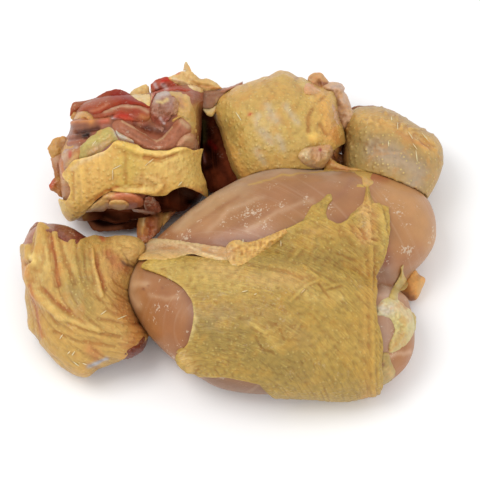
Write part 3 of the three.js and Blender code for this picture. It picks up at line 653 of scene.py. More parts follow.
def piece(name, points, faces, material, tone, flow=None, wet=0.3, node=None, depth=1.0, inner=None):
    """A piece of the heap, with its paint, its flow and its wetness on its points. Its tone takes
    painted shade in hollows and painted light on ridges, as strong as depth says. Faces whose first
    point is inner take a matt finish, as deep inside a hollow."""
    faces = faces if isinstance(faces, (list, tuple)) else [faces]
    mesh = build_mesh(name, points, faces, inner)
    tone = shade_hollows_light_ridges(points, faces, tone, depth)
    carry(mesh, "tone", "FLOAT_COLOR", "color", np.concatenate([tone, np.ones((len(points), 1))], -1))
    carry(mesh, "flow", "FLOAT_VECTOR", "vector", points if flow is None else flow)
    carry(mesh, "wet", "FLOAT", "value", np.broadcast_to(wet, len(points)))
    for look in (material,) if inner is None else (material, finish["wall"]):
        mesh.materials.append(look)
    thing = bpy.data.objects.new(name, mesh)
    bpy.context.scene.collection.objects.link(thing)
    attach(thing, "root")
    if node:
        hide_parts(node)
    return thing


def joined(*parts):
    """Points and faces of several closed surfaces as one list."""
    points, faces, start = [], {}, 0
    for part_points, part_faces in parts:
        for group in part_faces if isinstance(part_faces, (list, tuple)) else [part_faces]:
            faces.setdefault(group.shape[1], []).append(group + start)
        points.append(part_points)
        start += len(part_points)
    return np.concatenate(points), [np.concatenate(group) for group in faces.values()]


# %% [markdown]
# ## Effects for the materials
# What is finer than a wrinkle is left to shader nodes. Each effect is a node group with named sockets,
# made once and used by several materials: the raised pores that feathers leave, the fine creases of
# loose skin, with painted shade in their valleys and painted light on their crests, the fibres of a
# muscle, uneven colour, and the film of water, whose small glints are painted into the colour. The
# groups read the object's own coordinates or the flow attribute, so the patterns stay on the meat
# from any side.

# %% Building node groups
SOCKETS = {"float": "NodeSocketFloat", "color": "NodeSocketColor"}


def wire(tree, target, value):
    """Gives a socket a value, or a link from another socket."""
    if isinstance(value, bpy.types.NodeSocket):
        tree.links.new(value, target)
    else:
        target.default_value = value


def place_node(tree, kind, inputs=None, **settings):
    """A node with its own settings, and values or links for its inputs by name or number."""
    node = tree.nodes.new("ShaderNode" + kind)
    for key, value in settings.items():
        setattr(node, key, value)
    for key, value in (inputs or {}).items():
        wire(tree, node.inputs[key], value)
    return node


def start_group(name, inputs, outputs):
    """An empty node group with named sockets, and its two end nodes."""
    tree = bpy.data.node_groups.new(name, "ShaderNodeTree")
    for label, kind, value in inputs:
        socket = tree.interface.new_socket(label, in_out="INPUT", socket_type=SOCKETS[kind])
        socket.default_value = value
    for label, kind in outputs:
        tree.interface.new_socket(label, in_out="OUTPUT", socket_type=SOCKETS[kind])
    return tree, tree.nodes.new("NodeGroupInput").outputs, tree.nodes.new("NodeGroupOutput").inputs


def maths(tree, operation, *values):
    """The outcome of a sum with one to three values."""
    return place_node(tree, "Math", dict(enumerate(values)), operation=operation).outputs[0]


def times(tree, value, factor):
    """The product of a value and a factor."""
    return maths(tree, "MULTIPLY", value, factor)


def plus(tree, first, second):
    """The sum of two values."""
    return maths(tree, "ADD", first, second)


def times_plus(tree, value, factor, added):
    """The product of a value and a factor, plus what is added."""
    return maths(tree, "MULTIPLY_ADD", value, factor, added)


def ramp(tree, value, low, high, kind="SMOOTHSTEP"):
    """0 at low, 1 at high, and a soft or a linear way between them."""
    return place_node(tree, "MapRange", {"Value": value, 1: low, 2: high, 3: 0.0, 4: 1.0},
                      interpolation_type=kind).outputs[0]


def noise_of(tree, place, scale=1.0, detail=2.0, **inputs):
    """Noise from 0 to 1 at a place."""
    inputs = {"Vector": place, "Scale": scale, "Detail": detail, **inputs}
    return place_node(tree, "TexNoise", inputs).outputs["Fac"]


def scaled(tree, vector, factor):
    """A vector or a colour times a factor."""
    return place_node(tree, "VectorMath", {0: vector, "Scale": factor}, operation="SCALE").outputs[0]


def scaled_place(tree, size):
    """Object coordinates divided by a size in millimetres."""
    return scaled(tree, place_node(tree, "TexCoord").outputs["Object"], maths(tree, "DIVIDE", 1 / MM, size))


def flow_place(tree, given):
    """The flow attribute, divided by the sizes across and along the creases or fibres."""
    flow = place_node(tree, "Attribute", attribute_name="flow", attribute_type="GEOMETRY").outputs["Vector"]
    parts = place_node(tree, "SeparateXYZ", {0: flow}).outputs
    sizes = {"X": given["Across mm"], "Y": given["Along mm"], "Z": given["Along mm"]}
    shares = {axis: maths(tree, "DIVIDE", parts[axis], size) for axis, size in sizes.items()}
    return place_node(tree, "CombineXYZ", shares).outputs[0]


# %% Pores, creases and fibres
PORE_WIDTH, PORE_MIDDLE = 0.55, 0.3    # of a pore's bump and of its mask, as shares of the spacing
PATCH_SIZE = 11.0                      # millimetres between the patches where creases are tinted


def pores_group():
    """Raised pores: a smooth bump round each cell's own point, and a mask of its middle."""
    tree, given, put = start_group("Pores", [("Spacing mm", "float", 3.6), ("Evenness", "float", 0.7)],
                                   [("Height", "float"), ("Dot", "float")])
    cells = place_node(tree, "TexVoronoi", {"Vector": scaled_place(tree, given["Spacing mm"]), "Scale": 1.0,
                                            "Randomness": given["Evenness"]}).outputs["Distance"]
    wire(tree, put["Height"], ramp(tree, cells, PORE_WIDTH, 0.0))
    wire(tree, put["Dot"], ramp(tree, cells, PORE_MIDDLE, 0.0))
    return tree


def creases_group():
    """Creases of a noise that is stretched along the flow: |2 noise - 1| is zero along thin lines, which
    are the valleys, and swells between them. The Valley mask carries painted shade into the valleys and
    the Crest mask painted light onto the crests; both come and go with a broad noise."""
    tree, given, put = start_group("Creases", [("Across mm", "float", 1.6), ("Along mm", "float", 12.0)],
                                   [("Height", "float"), ("Valley", "float"), ("Crest", "float")])
    wave = noise_of(tree, flow_place(tree, given), Roughness=0.6)
    ridge = maths(tree, "ABSOLUTE", times_plus(tree, wave, 2.0, -1.0))
    patchy = ramp(tree, noise_of(tree, scaled_place(tree, PATCH_SIZE)), 0.38, 0.62, "LINEAR")
    wire(tree, put["Height"], ramp(tree, ridge, 0.0, 0.3, "LINEAR"))
    wire(tree, put["Valley"], times(tree, ramp(tree, ridge, 0.1, 0.0, "LINEAR"), patchy))
    wire(tree, put["Crest"], times(tree, ramp(tree, ridge, 0.16, 0.34, "LINEAR"), patchy))
    return tree


def fibres_group():
    """Muscle fibres: fine noise stretched along the flow, and broad pale streaks of fat between them."""
    tree, given, put = start_group("Fibres", [("Across mm", "float", 0.8), ("Along mm", "float", 30.0)],
                                   [("Height", "float"), ("Streak", "float")])
    flow = flow_place(tree, given)
    wire(tree, put["Height"], noise_of(tree, flow))
    wire(tree, put["Streak"], ramp(tree, noise_of(tree, flow, 0.28), 0.56, 0.72))
    return tree


# %% Uneven colour and the wet film
FLECK_START, FLECK_WET, FLECK_RISE = 1.33, -0.24, 0.14   # flecks start there; lower where wetter
DRY_ROUGHNESS, WET_ROUGHNESS, UNEVEN_ROUGHNESS = 0.48, -0.25, 0.2


def mottle_group():
    """A colour made darker and lighter by noise, and turned towards a second colour by other noise."""
    tree, given, put = start_group(
        "Mottle", [("Color", "color", (0.5, 0.4, 0.3, 1)), ("Blush", "color", (0.5, 0.3, 0.2, 1)),
                   ("Size mm", "float", 5.0), ("Depth", "float", 0.15), ("Blush share", "float", 0.3)],
        [("Color", "color")])
    place = scaled_place(tree, given["Size mm"])
    centred = times_plus(tree, noise_of(tree, place, detail=4.0), 2.0, -1.0)
    shaded = scaled(tree, given["Color"], times_plus(tree, centred, given["Depth"], 1.0))
    blotch = ramp(tree, noise_of(tree, place, 0.37, 3.0), 0.5, 0.68)
    share = times(tree, blotch, given["Blush share"])
    mixed = place_node(tree, "Mix", {0: share, 6: shaded, 7: given["Blush"]}, data_type="RGBA")
    wire(tree, put["Color"], mixed.outputs[2])
    return tree


def wet_group():
    """A film of water: smoother where wet, with small flecks where two noises both run high. The flecks
    mark where glints are painted into the colour.
    """
    tree, given, put = start_group("Wet film", [("Wet", "float", 0.5), ("Size mm", "float", 1.5)],
                                   [("Roughness", "float"), ("Fleck", "float"), ("Height", "float")])
    place = scaled_place(tree, given["Size mm"])
    fine = noise_of(tree, place, Distortion=0.5)
    both = plus(tree, fine, noise_of(tree, place, 0.14))
    low = times_plus(tree, given["Wet"], FLECK_WET, FLECK_START)
    wire(tree, put["Fleck"], ramp(tree, both, low, plus(tree, low, FLECK_RISE)))
    even = times_plus(tree, given["Wet"], WET_ROUGHNESS, DRY_ROUGHNESS)
    wire(tree, put["Roughness"], times_plus(tree, fine, UNEVEN_ROUGHNESS, even))
    wire(tree, put["Height"], fine)
    return tree


groups = {"pores": pores_group(), "creases": creases_group(), "fibres": fibres_group(),
          "mottle": mottle_group(), "wet": wet_group()}
print("node groups:", ", ".join(tree.name for tree in groups.values()))

# %% [markdown]
# ## One recipe for soft tissue
# Skin, muscle and fat differ in how rough, how lined and how see-through they are, but they are built
# alike: painted tone, mottled, with pores, creases or fibres on it and painted shade and light in the
# creases, under a wet film whose glints are painted into the colour, over light that scatters inside.
# So one function makes each material from its own values. The scattering radius and the sheen of the
# film are the same all over a material, so they stay on the shader's own sockets.

# %% The tissue recipe
# The first tone is the pale colour of the glints painted where the wet film flecks.
GLINT_TONE, PORE_TONE = (228, 205, 178), (240, 212, 132)
PORE_SPACING, PORE_RISE = 3.4, 0.6      # millimetres between pores, and how far they rise
# Crease valleys are darkened as painted shade and crests lightened as painted light.
VALLEY_SHADE, CREST_LIGHT = 0.3, 0.22     # how strongly creases are tinted low and high
RIPPLE = 0.9                            # height of the wet film's ripples
WATER, FILM_ROUGHNESS = 1.4, 0.18       # how light bends in the film, and how rough it is
SCATTER_MM = (3.0, 1.5, 0.8)            # how far red, green and blue light go inside


def use(tree, name, inputs):
    """Places a node group in a material with its own values."""
    node = tree.nodes.new("ShaderNodeGroup")
    node.node_tree = groups[name]
    for key, value in inputs.items():
        wire(tree, node.inputs[key], value)
    return node.outputs


def tinted(tree, colour, share, strength, tone):
    """A colour turned towards a tone by a share times a strength."""
    return place_node(tree, "Mix", {0: times(tree, share, strength), 6: colour, 7: (*linear(tone), 1)},
                      data_type="RGBA").outputs[2]


def on_point(tree, name, output):
    """What the mesh's points carry under a name."""
    return place_node(tree, "Attribute", attribute_name=name, attribute_type="GEOMETRY").outputs[output]


def pores(strength=0.45):
    """Pores that rise from the skin, tinted in the middle."""
    return "pores", {"Spacing mm": PORE_SPACING}, PORE_RISE, [("Dot", strength, PORE_TONE)]


def creases(rise, size, valley, crest):
    """Creases with painted shade in their valleys and painted light on their crests."""
    tints = [("Valley", VALLEY_SHADE, valley), ("Crest", CREST_LIGHT, crest)]
    return "creases", {"Across mm": size}, rise, tints


def fibres(rise, tone, strength=0.3, size=0.8):
    """Fibres with paler streaks."""
    return "fibres", {"Across mm": size}, rise, [("Streak", strength, tone)]


def soft_shader(tree, colour, roughness, height, bump, scatter, sheen, shine):
    """The shader of soft tissue under a clear film, and the material's output."""
    normal = place_node(tree, "Bump", {"Height": height, "Strength": bump, "Distance": MM}).outputs[0]
    shader = place_node(tree, "BsdfPrincipled", {
        "Base Color": colour, "Roughness": roughness, "Normal": normal, "IOR": WATER,
        "Specular IOR Level": shine, "Subsurface Weight": scatter, "Subsurface Scale": MM,
        "Subsurface Radius": SCATTER_MM, "Coat Weight": sheen, "Coat Roughness": FILM_ROUGHNESS})
    place_node(tree, "OutputMaterial", {"Surface": shader.outputs[0]})


def tissue(name, blush, marks=(), blush_share=0.25, depth=0.14, mottle=5.0, film=0.4, bump=0.4, scatter=0.12,
           sheen=0.25, shine=0.5):
    """Painted tone, mottled; marks as tint and height, with painted shade and light in creases; a wet film
    with painted glints; scattering.
    """
    material = bpy.data.materials.new(name)
    material.use_nodes = True
    tree = material.node_tree
    tree.nodes.clear()
    wetness = on_point(tree, "wet", "Fac")
    water = use(tree, "wet", {"Wet": wetness})
    height = times(tree, water["Height"], times(tree, wetness, RIPPLE))
    colour = use(tree, "mottle", {"Color": on_point(tree, "tone", "Color"), "Blush": (*linear(blush), 1),
                                  "Size mm": mottle, "Depth": depth, "Blush share": blush_share})["Color"]
    for group, size, rise, tints in marks:
        found = use(tree, group, size)
        for output, strength, tone in tints:
            colour = tinted(tree, colour, found[output], strength, tone)
        height = plus(tree, height, times(tree, found["Height"], rise))
    # Painted glints: where the wet film flecks, the colour turns pale, as strongly as film says.
    colour = tinted(tree, colour, water["Fleck"], film, GLINT_TONE)
    soft_shader(tree, colour, water["Roughness"], height, bump, scatter, sheen, shine)
    return material


# %% The finishes
# In each finish, film is how strong the painted glints are; crease tones are painted shade and light.
SKIN_LOOK = dict(blush=(216, 154, 80), blush_share=0.4, film=0.2, sheen=0.16, shine=0.4)
LOOSE_LOOK = {**SKIN_LOOK, "blush": (220, 170, 76)}
finish = {
    "loose": tissue("loose_skin", marks=[pores(), creases(0.36, 1.6, (160, 112, 48), (240, 214, 120))],
                    bump=0.8, mottle=4.2, depth=0.3, **LOOSE_LOOK),
    "skin": tissue("creased_skin", marks=[pores(), creases(0.22, 2.2, (180, 124, 58), (236, 202, 120))],
                   bump=0.6, mottle=3.6, depth=0.24, **SKIN_LOOK),
    "plump": tissue("plump_skin", marks=[pores(strength=0.8)], bump=0.85, mottle=3.0, depth=0.2, **SKIN_LOOK),
    "breast": tissue("breast_flesh", (190, 136, 96), [fibres(0.5, (208, 172, 140), 0.22)],
                     bump=0.3, sheen=0.3, depth=0.16, mottle=10.0, film=0.75),
    "meat": tissue("dark_meat", (150, 84, 58), [fibres(0.8, (190, 140, 112))],
                   bump=0.5, sheen=0.2, shine=0.35),
    "muscle": tissue("red_muscle", (184, 84, 50), [fibres(0.7, (196, 110, 84))], sheen=0.05, shine=0.18),
    "fat": tissue("soft_fat", (224, 164, 90), [fibres(0.3, (234, 210, 160), 0.18, 1.6)], blush_share=0.5,
                  bump=0.5, scatter=0.2, mottle=2.4, depth=0.3, film=0.25, sheen=0.16),
    "organ": tissue("organ_skin", (214, 128, 84), bump=0.3, sheen=0.35, scatter=0.2),
    "wall": tissue("hollow_wall", (84, 34, 18), [fibres(0.8, (120, 62, 36))],
                   bump=0.5, scatter=0.02, sheen=0.0, shine=0.0, film=0.1, depth=0.3),
}
print("finishes:", ", ".join(finish))


# %% [markdown]
# ## A palette for stains and painted light
# Fat, dried blood and film come back on every piece, and so do painted shade in hollows and painted
# highlights, so their tones have names. Each is the tone of 0 to 255 that the lit surface shows.

# %% Tones that many dabs share
HONEY, BUTTER, UMBER, CARAMEL = (205, 161, 93), (222, 182, 114), (150, 95, 66), (198, 130, 76)
BARK, RUST, SHELL, FAWN = (119, 59, 35), (172, 92, 55), (204, 176, 157), (194, 146, 103)
CREAM, COCOA, CLAY, CHESTNUT = (229, 201, 151), (84, 44, 26), (175, 122, 96), (137, 74, 47)
BRICK, PEACH, STRAW, BRONZE = (197, 78, 53), (208, 166, 129), (237, 205, 124), (172, 112, 60)
AMBER = (214, 146, 76)
print("the darkest shared tone sends back", linear(COCOA).round(3), "of the light")

# %% [markdown]
# ## The breast
# The breast is two long muscles on the bone, with a valley between them. Its flesh is smooth and pale,
# and its fibres run in long curves, so it gets a fibre flow round a place at its lower left. The
# painted dabs are a paler grey along the top, which is painted sheen where the top faces the light,
# the thin line of yellow fat under it, rosy flesh by the skin, a brown line of painted shade in the
# valley, and blood spots.

# %% Breast flesh
def flesh(lump, rows, neighbours=(), depth=0.4, size=12.0, seed=0):
    """A whole lump on a ball grid, uneven by a rough noise, pressed clear of its neighbours."""
    directions, quads = ball(rows)
    lift = depth * rough(lump.point(directions), size, seed)
    return press(lump.point(directions, lift), lump.middle, neighbours), quads


BREAST = dict(
    middle=seen(26, -29, 24), lobes=[((22, 36, 6), (98, 54, 40), 3), ((-10, -30, 2), (98, 56, 43), 0)],
    outline=[80, 104, 111, 99, 85, 77, 75, 73, 72, 74, 79, 88, 97, 91, 83, 77, 74, 70, 68, 71, 82, 91, 95,
             88])
BREAST_FOLDS = [
    ([[100, -14], [95, -29]], 6, -5), ([[-53, 0], [0, -5], [40, 3]], 9, -2)]
BREAST_FLESH, GREY_TOP_SHEEN, ROSY, WARM_FLESH = (172, 121, 75), (206, 186, 168), (168, 112, 76), (196, 146, 94)
PALE_FLESH, BLOOD, YELLOW_FAT = (210, 172, 132), (112, 42, 26), (206, 168, 92)
STREAK, PALE_STREAK, TAN_FLESH, DIM_FLESH = (162, 108, 76), (220, 184, 146), (163, 104, 56), (132, 92, 60)
BREAST_DABS = [
    # Painted sheen: a paler grey along the top of the far lobe.
    (GREY_TOP_SHEEN, [[-29, 31], [-5, 42], [15, 49], [40, 51], [59, 49]], 6.5, 0.85),
    (YELLOW_FAT, [[5, 37], [20, 41], [34, 44], [59, 46]], 0.5, 0.9),
    (PALE_FLESH, [[-40, 10], [-18, 28], [-3, 35]], 9, 0.8),
    (STREAK, [[-49, 7], [-36, 20], [-18, 33]], 1.4, 0.6),
    (PALE_STREAK, [[-44, 6], [-30, 19], [-12, 32]], 1.4, 0.5),
    (STREAK, [[-36, 4], [-22, 16], [-1, 29]], 1.6, 0.5),
    (PALE_STREAK, [[-22, 6], [-7, 20], [15, 29]], 1.8, 0.4),
    (STREAK, [[-8, 6], [11, 17], [40, 23]], 2.4, 0.4),
    (PALE_STREAK, [[5, 6], [24, 19], [48, 27]], 1.8, 0.4), (STREAK, [[57, 24], [69, 33], [74, 41]], 2, 0.5),
    (ROSY, [[-50, 3], [-16, 0], [15, 3]], 5, 0.6), (ROSY, [[51, 17], [63, 10], [71, 17]], 4, 0.7),
    (ROSY, [[87, 43], [83, 29]], 5, 0.5), (WARM_FLESH, [[100, 32], [117, 19], [123, 0]], 13, 0.8),
    (ROSY, [[96, -14], [108, -14], [117, -6]], 6, 0.45),
    ((186, 152, 132), [[95, -17], [98, -39], [96, -69]], 7, 0.7),
    (BRONZE, [[103, -76], [111, -70], [108, -89]], 6, 0.85), (PEACH, [[100, -76], [112, -73]], 1.4, 0.8),
    (SHELL, [[93, -19], [94, -33], [99, -34]], 4, 0.6),
    (DIM_FLESH, [[-25, -91], [0, -97], [23, -100]], 7, 0.8),
    (TAN_FLESH, [[-50, -38], [-46, -58], [-36, -69]], 15, 0.85),
    (UMBER, [[-36, -31], [-30, -46], [-33, -63]], 3.5, 0.6),
    (PALE_FLESH, [[-71, -21], [-73, -34], [-68, -43]], 3.5, 0.8),
    (PALE_FLESH, [[-74, -29], [-62, -29]], 2.5, 0.7),
    (PALE_FLESH, [[-59, -36], [-49, -38], [-41, -37]], 1.6, 0.35),
    # The brown umber line along the valley by the skin's edge is painted shade.
    (ROSY, [[20, 29], [40, 32], [73, 29]], 7, 0.35), (UMBER, [[-33, 0], [-17, -2], [7, 0]], 2.6, 0.6),
    (RUST, [[95, 2], [96, -14]], 3, 0.6), (RUST, [[88, 42], [96, 41]], 3, 0.7),
    (BLOOD, [[-64, -33]], 0.9, 0.9), (BLOOD, [[-61, -31]], 0.7, 0.8), (BLOOD, [[-51, -31]], 0.7, 0.6)]
BREAST_WET = [
    (0.9, [[-3, 21], [59, 24]], 6), (0.85, [[-59, 6], [-13, 6], [30, 15]], 8),
    (0.8, [[115, 23], [114, -14]], 6), (1, [[96, -23], [98, -69]], 6), (0.8, [[-53, -39], [-34, -52]], 8)]
BREAST_FLOW = [-16, -59]

breast = Lump(**BREAST, folds=BREAST_FOLDS)
points, quads = flesh(breast, 118, size=26.0, depth=0.6)
piece("breast_flesh", points, quads, finish["breast"],
      paint(points, BREAST_FLESH, BREAST_DABS, seed=3), swirl(points, BREAST_FLOW, -1),
      dab_mask(points, BREAST_WET, 0.45), node="breast_meat")
print("breast flesh:", made["breast_flesh"], "triangles")

# %% [markdown]
# ## The breast's skin
# The skin is a loose sheet with its own thickness. Its sides are torn, so they follow curves through a
# few places. It lies over the flesh with a rounded rim, and its folds and crumples are real relief:
# wrinkles run in arcs round a place below its lower left corner.

# %% Breast skin
BREAST_SIDES = dict(
    top=[[-63, -18], [-50, -10], [-26, -11], [-5, -13], [15, -6], [33, 8], [49, 14], [65, 10], [77, 19],
         [88, 23], [96, 20]],
    right=[[96, 20], [97, 6], [96, -4], [93, -17], [89, -27], [88, -37], [88, -45], [92, -67], [92, -82],
           [92, -107]],
    bottom=[[-26, -88], [-7, -89], [15, -94], [27, -102], [43, -107], [59, -111], [76, -111], [92, -107]],
    left=[[-63, -18], [-46, -25], [-35, -33], [-29, -49], [-33, -66], [-40, -76], [-26, -88]])
BREAST_CREASES = [
    ([[83, 23], [87, 19], [92, 2]], 1.8, 2), ([[87, 27], [90, 17], [91, 8]], 1, 1.2),
    ([[77, 21], [81, 12], [83, 0]], 1.6, 1.4), ([[74, 12], [81, 0], [87, -1]], 1.2, -1.6),
    ([[76, 18], [82, 17]], 1, -1.2), ([[66, 14], [69, 3], [75, -4]], 1.8, 1), ([[84, -2], [90, -6]], 2, 1.4),
    ([[57, 6], [63, -2]], 2, 0.8), ([[-36, -78], [-32, -83]], 4, 3),
    ([[-59, -17], [-33, -14], [-3, -18]], 2.4, 1.4), ([[83, -6], [83, -33], [85, -59], [86, -101]], 1.6, 1.3),
    ([[88, -18], [86, -39], [88, -66], [89, -104]], 1.4, 0.9),
    ([[78, -14], [81, -72]], 1.8, 0.6), ([[-5, -14], [34, -22], [40, -25]], 1.6, -1),
    ([[54, -33], [65, -30]], 0.9, -1), ([[51, -29], [57, -37]], 0.9, -0.9),
    ([[41, -18], [50, -25], [59, -29]], 1.2, 0.8),
    ([[33, -39], [42, -30], [50, -26]], 1.1, 0.7), ([[9, -54], [17, -59], [25, -56]], 1.4, 0.9),
    ([[11, -62], [15, -70], [22, -72]], 1.2, -0.7), ([[24, -54], [29, -64]], 1.2, -0.6),
    ([[40, -51], [33, -62]], 1.2, 0.6),
    ([[40, -6], [33, -14]], 1.4, 0.8), ([[51, -4], [59, -14]], 1.4, 0.7), ([[63, -10], [73, -14]], 1.4, -0.7)]
SKIN_TONE, WARM_SKIN, OLIVE_SKIN, PALE_SKIN = (189, 155, 76), (210, 160, 84), (164, 137, 70), (216, 184, 104)
PINK_SKIN, ORANGE_SKIN, RIM_SKIN = (226, 176, 112), (204, 142, 80), (210, 188, 128)
BREAST_SKIN_DABS = [
    # Painted light: the pale butter band along the front lobe's crest.
    (BUTTER, [[-23, -18], [7, -25], [40, -26]], 7, 0.65),
    (PALE_SKIN, [[-54, -16], [-30, -25], [0, -34]], 7, 0.6), (HONEY, [[28, -23], [38, -25]], 4, 0.6),
    (OLIVE_SKIN, [[-21, -59], [3, -71], [33, -83]], 16, 0.85),
    # Painted shade: this olive band on the slope above the crest, which faces away from the light.
    (OLIVE_SKIN, [[15, -14], [40, -8], [63, -14]], 8, 0.5),
    (PALE_SKIN, [[9, -55], [18, -62], [24, -70]], 3.4, 0.7), (PALE_SKIN, [[-5, -14], [34, 6]], 3, 0.5),
    ((172, 140, 72), [[40, -87], [59, -95], [74, -99]], 8, 0.5),
    ((178, 140, 92), [[-24, -43], [15, -47], [40, -63]], 9, 0.3),
    (PINK_SKIN, [[81, 24], [86, 16], [83, 3]], 6, 0.8), (STRAW, [[40, -34], [54, -39], [66, -37]], 4, 0.35),
    (ORANGE_SKIN, [[74, 8], [79, 2]], 2.6, 0.5), (WARM_SKIN, [[46, 6], [69, 6]], 5, 0.45),
    (PALE_SKIN, [[95, 17], [95, -6]], 3.5, 0.5), (WARM_SKIN, [[87, -14], [84, -59], [87, -105]], 6, 0.45),
    (ORANGE_SKIN, [[84, -104], [92, -107]], 3.5, 0.3),
    (RIM_SKIN, [[-46, -25], [-35, -35], [-29, -49], [-33, -66]], 1.6, 0.7),
    (BUTTER, [[-38, -75], [-32, -83]], 3.6, 0.8)]
BREAST_SKIN_WET = [(0.75, [[-10, -33], [53, -39]], 14), (0.7, [[40, -79], [69, -92]], 10),
                   (0.8, [[76, 19], [87, 0]], 8)]
WRINKLE_CENTRE = [-24, -142]
BREAST_LINES = [(0.2, 3, 11, 5), (0.16, 1.9, 7, 9)]     # height, spacing, length and seed


def wrinkles_of(centre, lines, soft, fine):
    """Wrinkles for a sheet: lines in arcs round a centre, each with its height, spacing, length, seed and
    maybe cut, and soft and fine unevenness, each with its height, size and seed."""
    def wrinkles(places):
        height = sum(rise * arcs(places, centre, *line) for rise, *line in lines)
        return height + soft[0] * rough(places, *soft[1:]) + fine[0] * noise(places, *fine[1:])
    return wrinkles


def breast_wrinkles(places):
    """Arcs of wrinkles, strongest towards the right and the bottom, over soft unevenness."""
    right = soft_step(places[..., 0], 26.0, 73.0)
    low = soft_step(-places[..., 1], 45.0, 95.0)
    share = 0.2 + 0.8 * np.maximum(right, low)
    lines = sum(rise * arcs(places, WRINKLE_CENTRE, *line, cut=-1) for rise, *line in BREAST_LINES)
    crumple = 0.34 * rough(places, 6.0, 14) + 0.2 * noise(places, 2.6, 8)
    return share * lines + (1.3 - 0.6 * low) * crumple + 0.45 * rough(places, 17.0, 4)


points, quads = sheet(breast, BREAST_SIDES, 238, 172, BREAST_CREASES, breast_wrinkles)
tears = [ribbon(draped(breast, SUNK + 0.5), first, second, thick, folds, seed=30 + n, lumps=0.4, columns=70)
         for n, (first, second, thick, folds) in enumerate([
             ([[57, 30], [53, 26], [48, 23], [40, 11]],
              [[60, 31], [61, 27], [58, 23], [57, 17], [61, 10]], 1.8, ()),
             ([[83, 36], [81, 25], [72, 16], [69, 8]],
              [[85, 36], [86, 31], [90, 21], [92, 6]], 2.6,
              [([[84, 35], [85, 27], [88, 19]], 1.4, 1.6), ([[75, 19], [82, 19]], 1, -1)]),
             ([[92, 23], [90, 12], [89, 2]],
              [[97, 23], [98, 19], [94, 2]], 1.8, [([[96, 23], [96, 14]], 0.9, 0.7)]),
             ([[-41, -72], [-38, -71], [-34, -73], [-30, -84]],
              [[-42, -74], [-40, -75], [-41, -77], [-38, -79], [-32, -85]], 3,
              [([[-39, -74], [-34, -79]], 1.2, 0.9)])])]
points, faces = joined((points, quads), *tears)
piece("breast_skin_sheet", points, faces, finish["loose"],
      paint(points, SKIN_TONE, BREAST_SKIN_DABS, seed=8, wander=2.4), swirl(points, WRINKLE_CENTRE, -1),
      dab_mask(points, BREAST_SKIN_WET, 0.4), node="breast_skin")
print("breast skin:", made["breast_skin_sheet"], "triangles")

# %% [markdown]
# ## Rolls, shreds and knobs
# Around the big cuts lie small soft things: a rolled edge of skin, torn ends of fat, knuckles. Each is
# made of one or more ribbons: flat bodies between two drawn edges, that drape over what carries them
# and swell a little towards the eye. Their rims lie inside it, so no seam of air shows from the side.

# %% How small pieces are made
def shreds(name, node, look, slot, base, parts, carrier, dabs=(), wet=0.5, seed=0, **more):
    """One piece of several ribbons, each given as its two edges, its thickness, and maybe its folds."""
    surfaces = [ribbon(carrier, *part, seed=seed + 7 * n, **more) for n, part in enumerate(parts)]
    points, faces = joined(*surfaces)
    flow = np.stack([points @ UP, points @ ACROSS, points @ TOWARDS], -1)
    tone = paint(points, base, dabs, seed, 0.7)
    return piece(name, points, faces, finish[look], tone, flow, wet, node, 0.4)


# %% Round the breast's skin
ROLL_PINK, ROLL_YELLOW, FAT_PALE = (228, 192, 150), (220, 176, 100), (226, 206, 162)
on_breast_skin = draped(breast, CLEAR + SKIN + SUNK)
flap = ribbon(on_breast_skin,
              [[-65, -7], [-62, -2], [-58, 1], [-50, 1], [-7, -5]],
              [[-65, -8], [-54, -9], [-50, -11], [-45, -13], [-38, -10], [-31, -9], [-18, -13], [-7, -14]],
              2.6, [([[-33, -4], [-24, -8], [-12, -12]], 1.2, 1.3), ([[-49, -6], [-41, -8]], 2.4, -0.8),
               ([[-26, -7], [-11, -9]], 1, -0.7)], columns=110, rows=34, lumps=0.2, seed=12)
tongue = ribbon(on_breast_skin,
                [[-67, -5], [-61, -6], [-53, -8], [-45, -12]],
                [[-67, -13], [-55, -13], [-48, -14]], 1.6, columns=50, seed=13)
roll = ribbon(on_breast_skin,
              [[-9, -10], [-9, -4], [-5, 0], [0, 0], [5, -1], [18, 3], [30, 8]],
              [[-8, -13], [-5, -17], [-1, -17], [18, -6], [32, 5]],
              4.4, [([[-5, -2], [0, -6], [8, -5]], 2.4, 0.8)], (11, 0.22), columns=130, rows=44, lumps=0.4,
              seed=14)
points, faces = joined(flap, tongue, roll)
piece("breast_rolled_edge", points, faces, finish["fat"], paint(points, ROLL_YELLOW, [
    (ROLL_PINK, [[-63, -4], [-46, -4], [-10, -8]], 5.6, 0.95),
    (CREAM, [[-61, -1], [-48, 0], [-26, -3]], 1.6, 0.7), (CREAM, [[-32, -5], [-24, -9], [-11, -13]], 1, 0.8),
    (BUTTER, [[-42, -12], [-33, -10], [-18, -12]], 1.6, 0.85), (BUTTER, [[-63, -9], [-55, -12]], 2.4, 0.8),
    ((240, 226, 200), [[-4, -17]], 1.2, 0.9), (BUTTER, [[-4, -1], [1, -1]], 1.8, 0.6)], 12, 0.8),
      np.stack([points @ ACROSS, points @ UP, points @ TOWARDS], -1), 0.6, "breast_skin_roll")

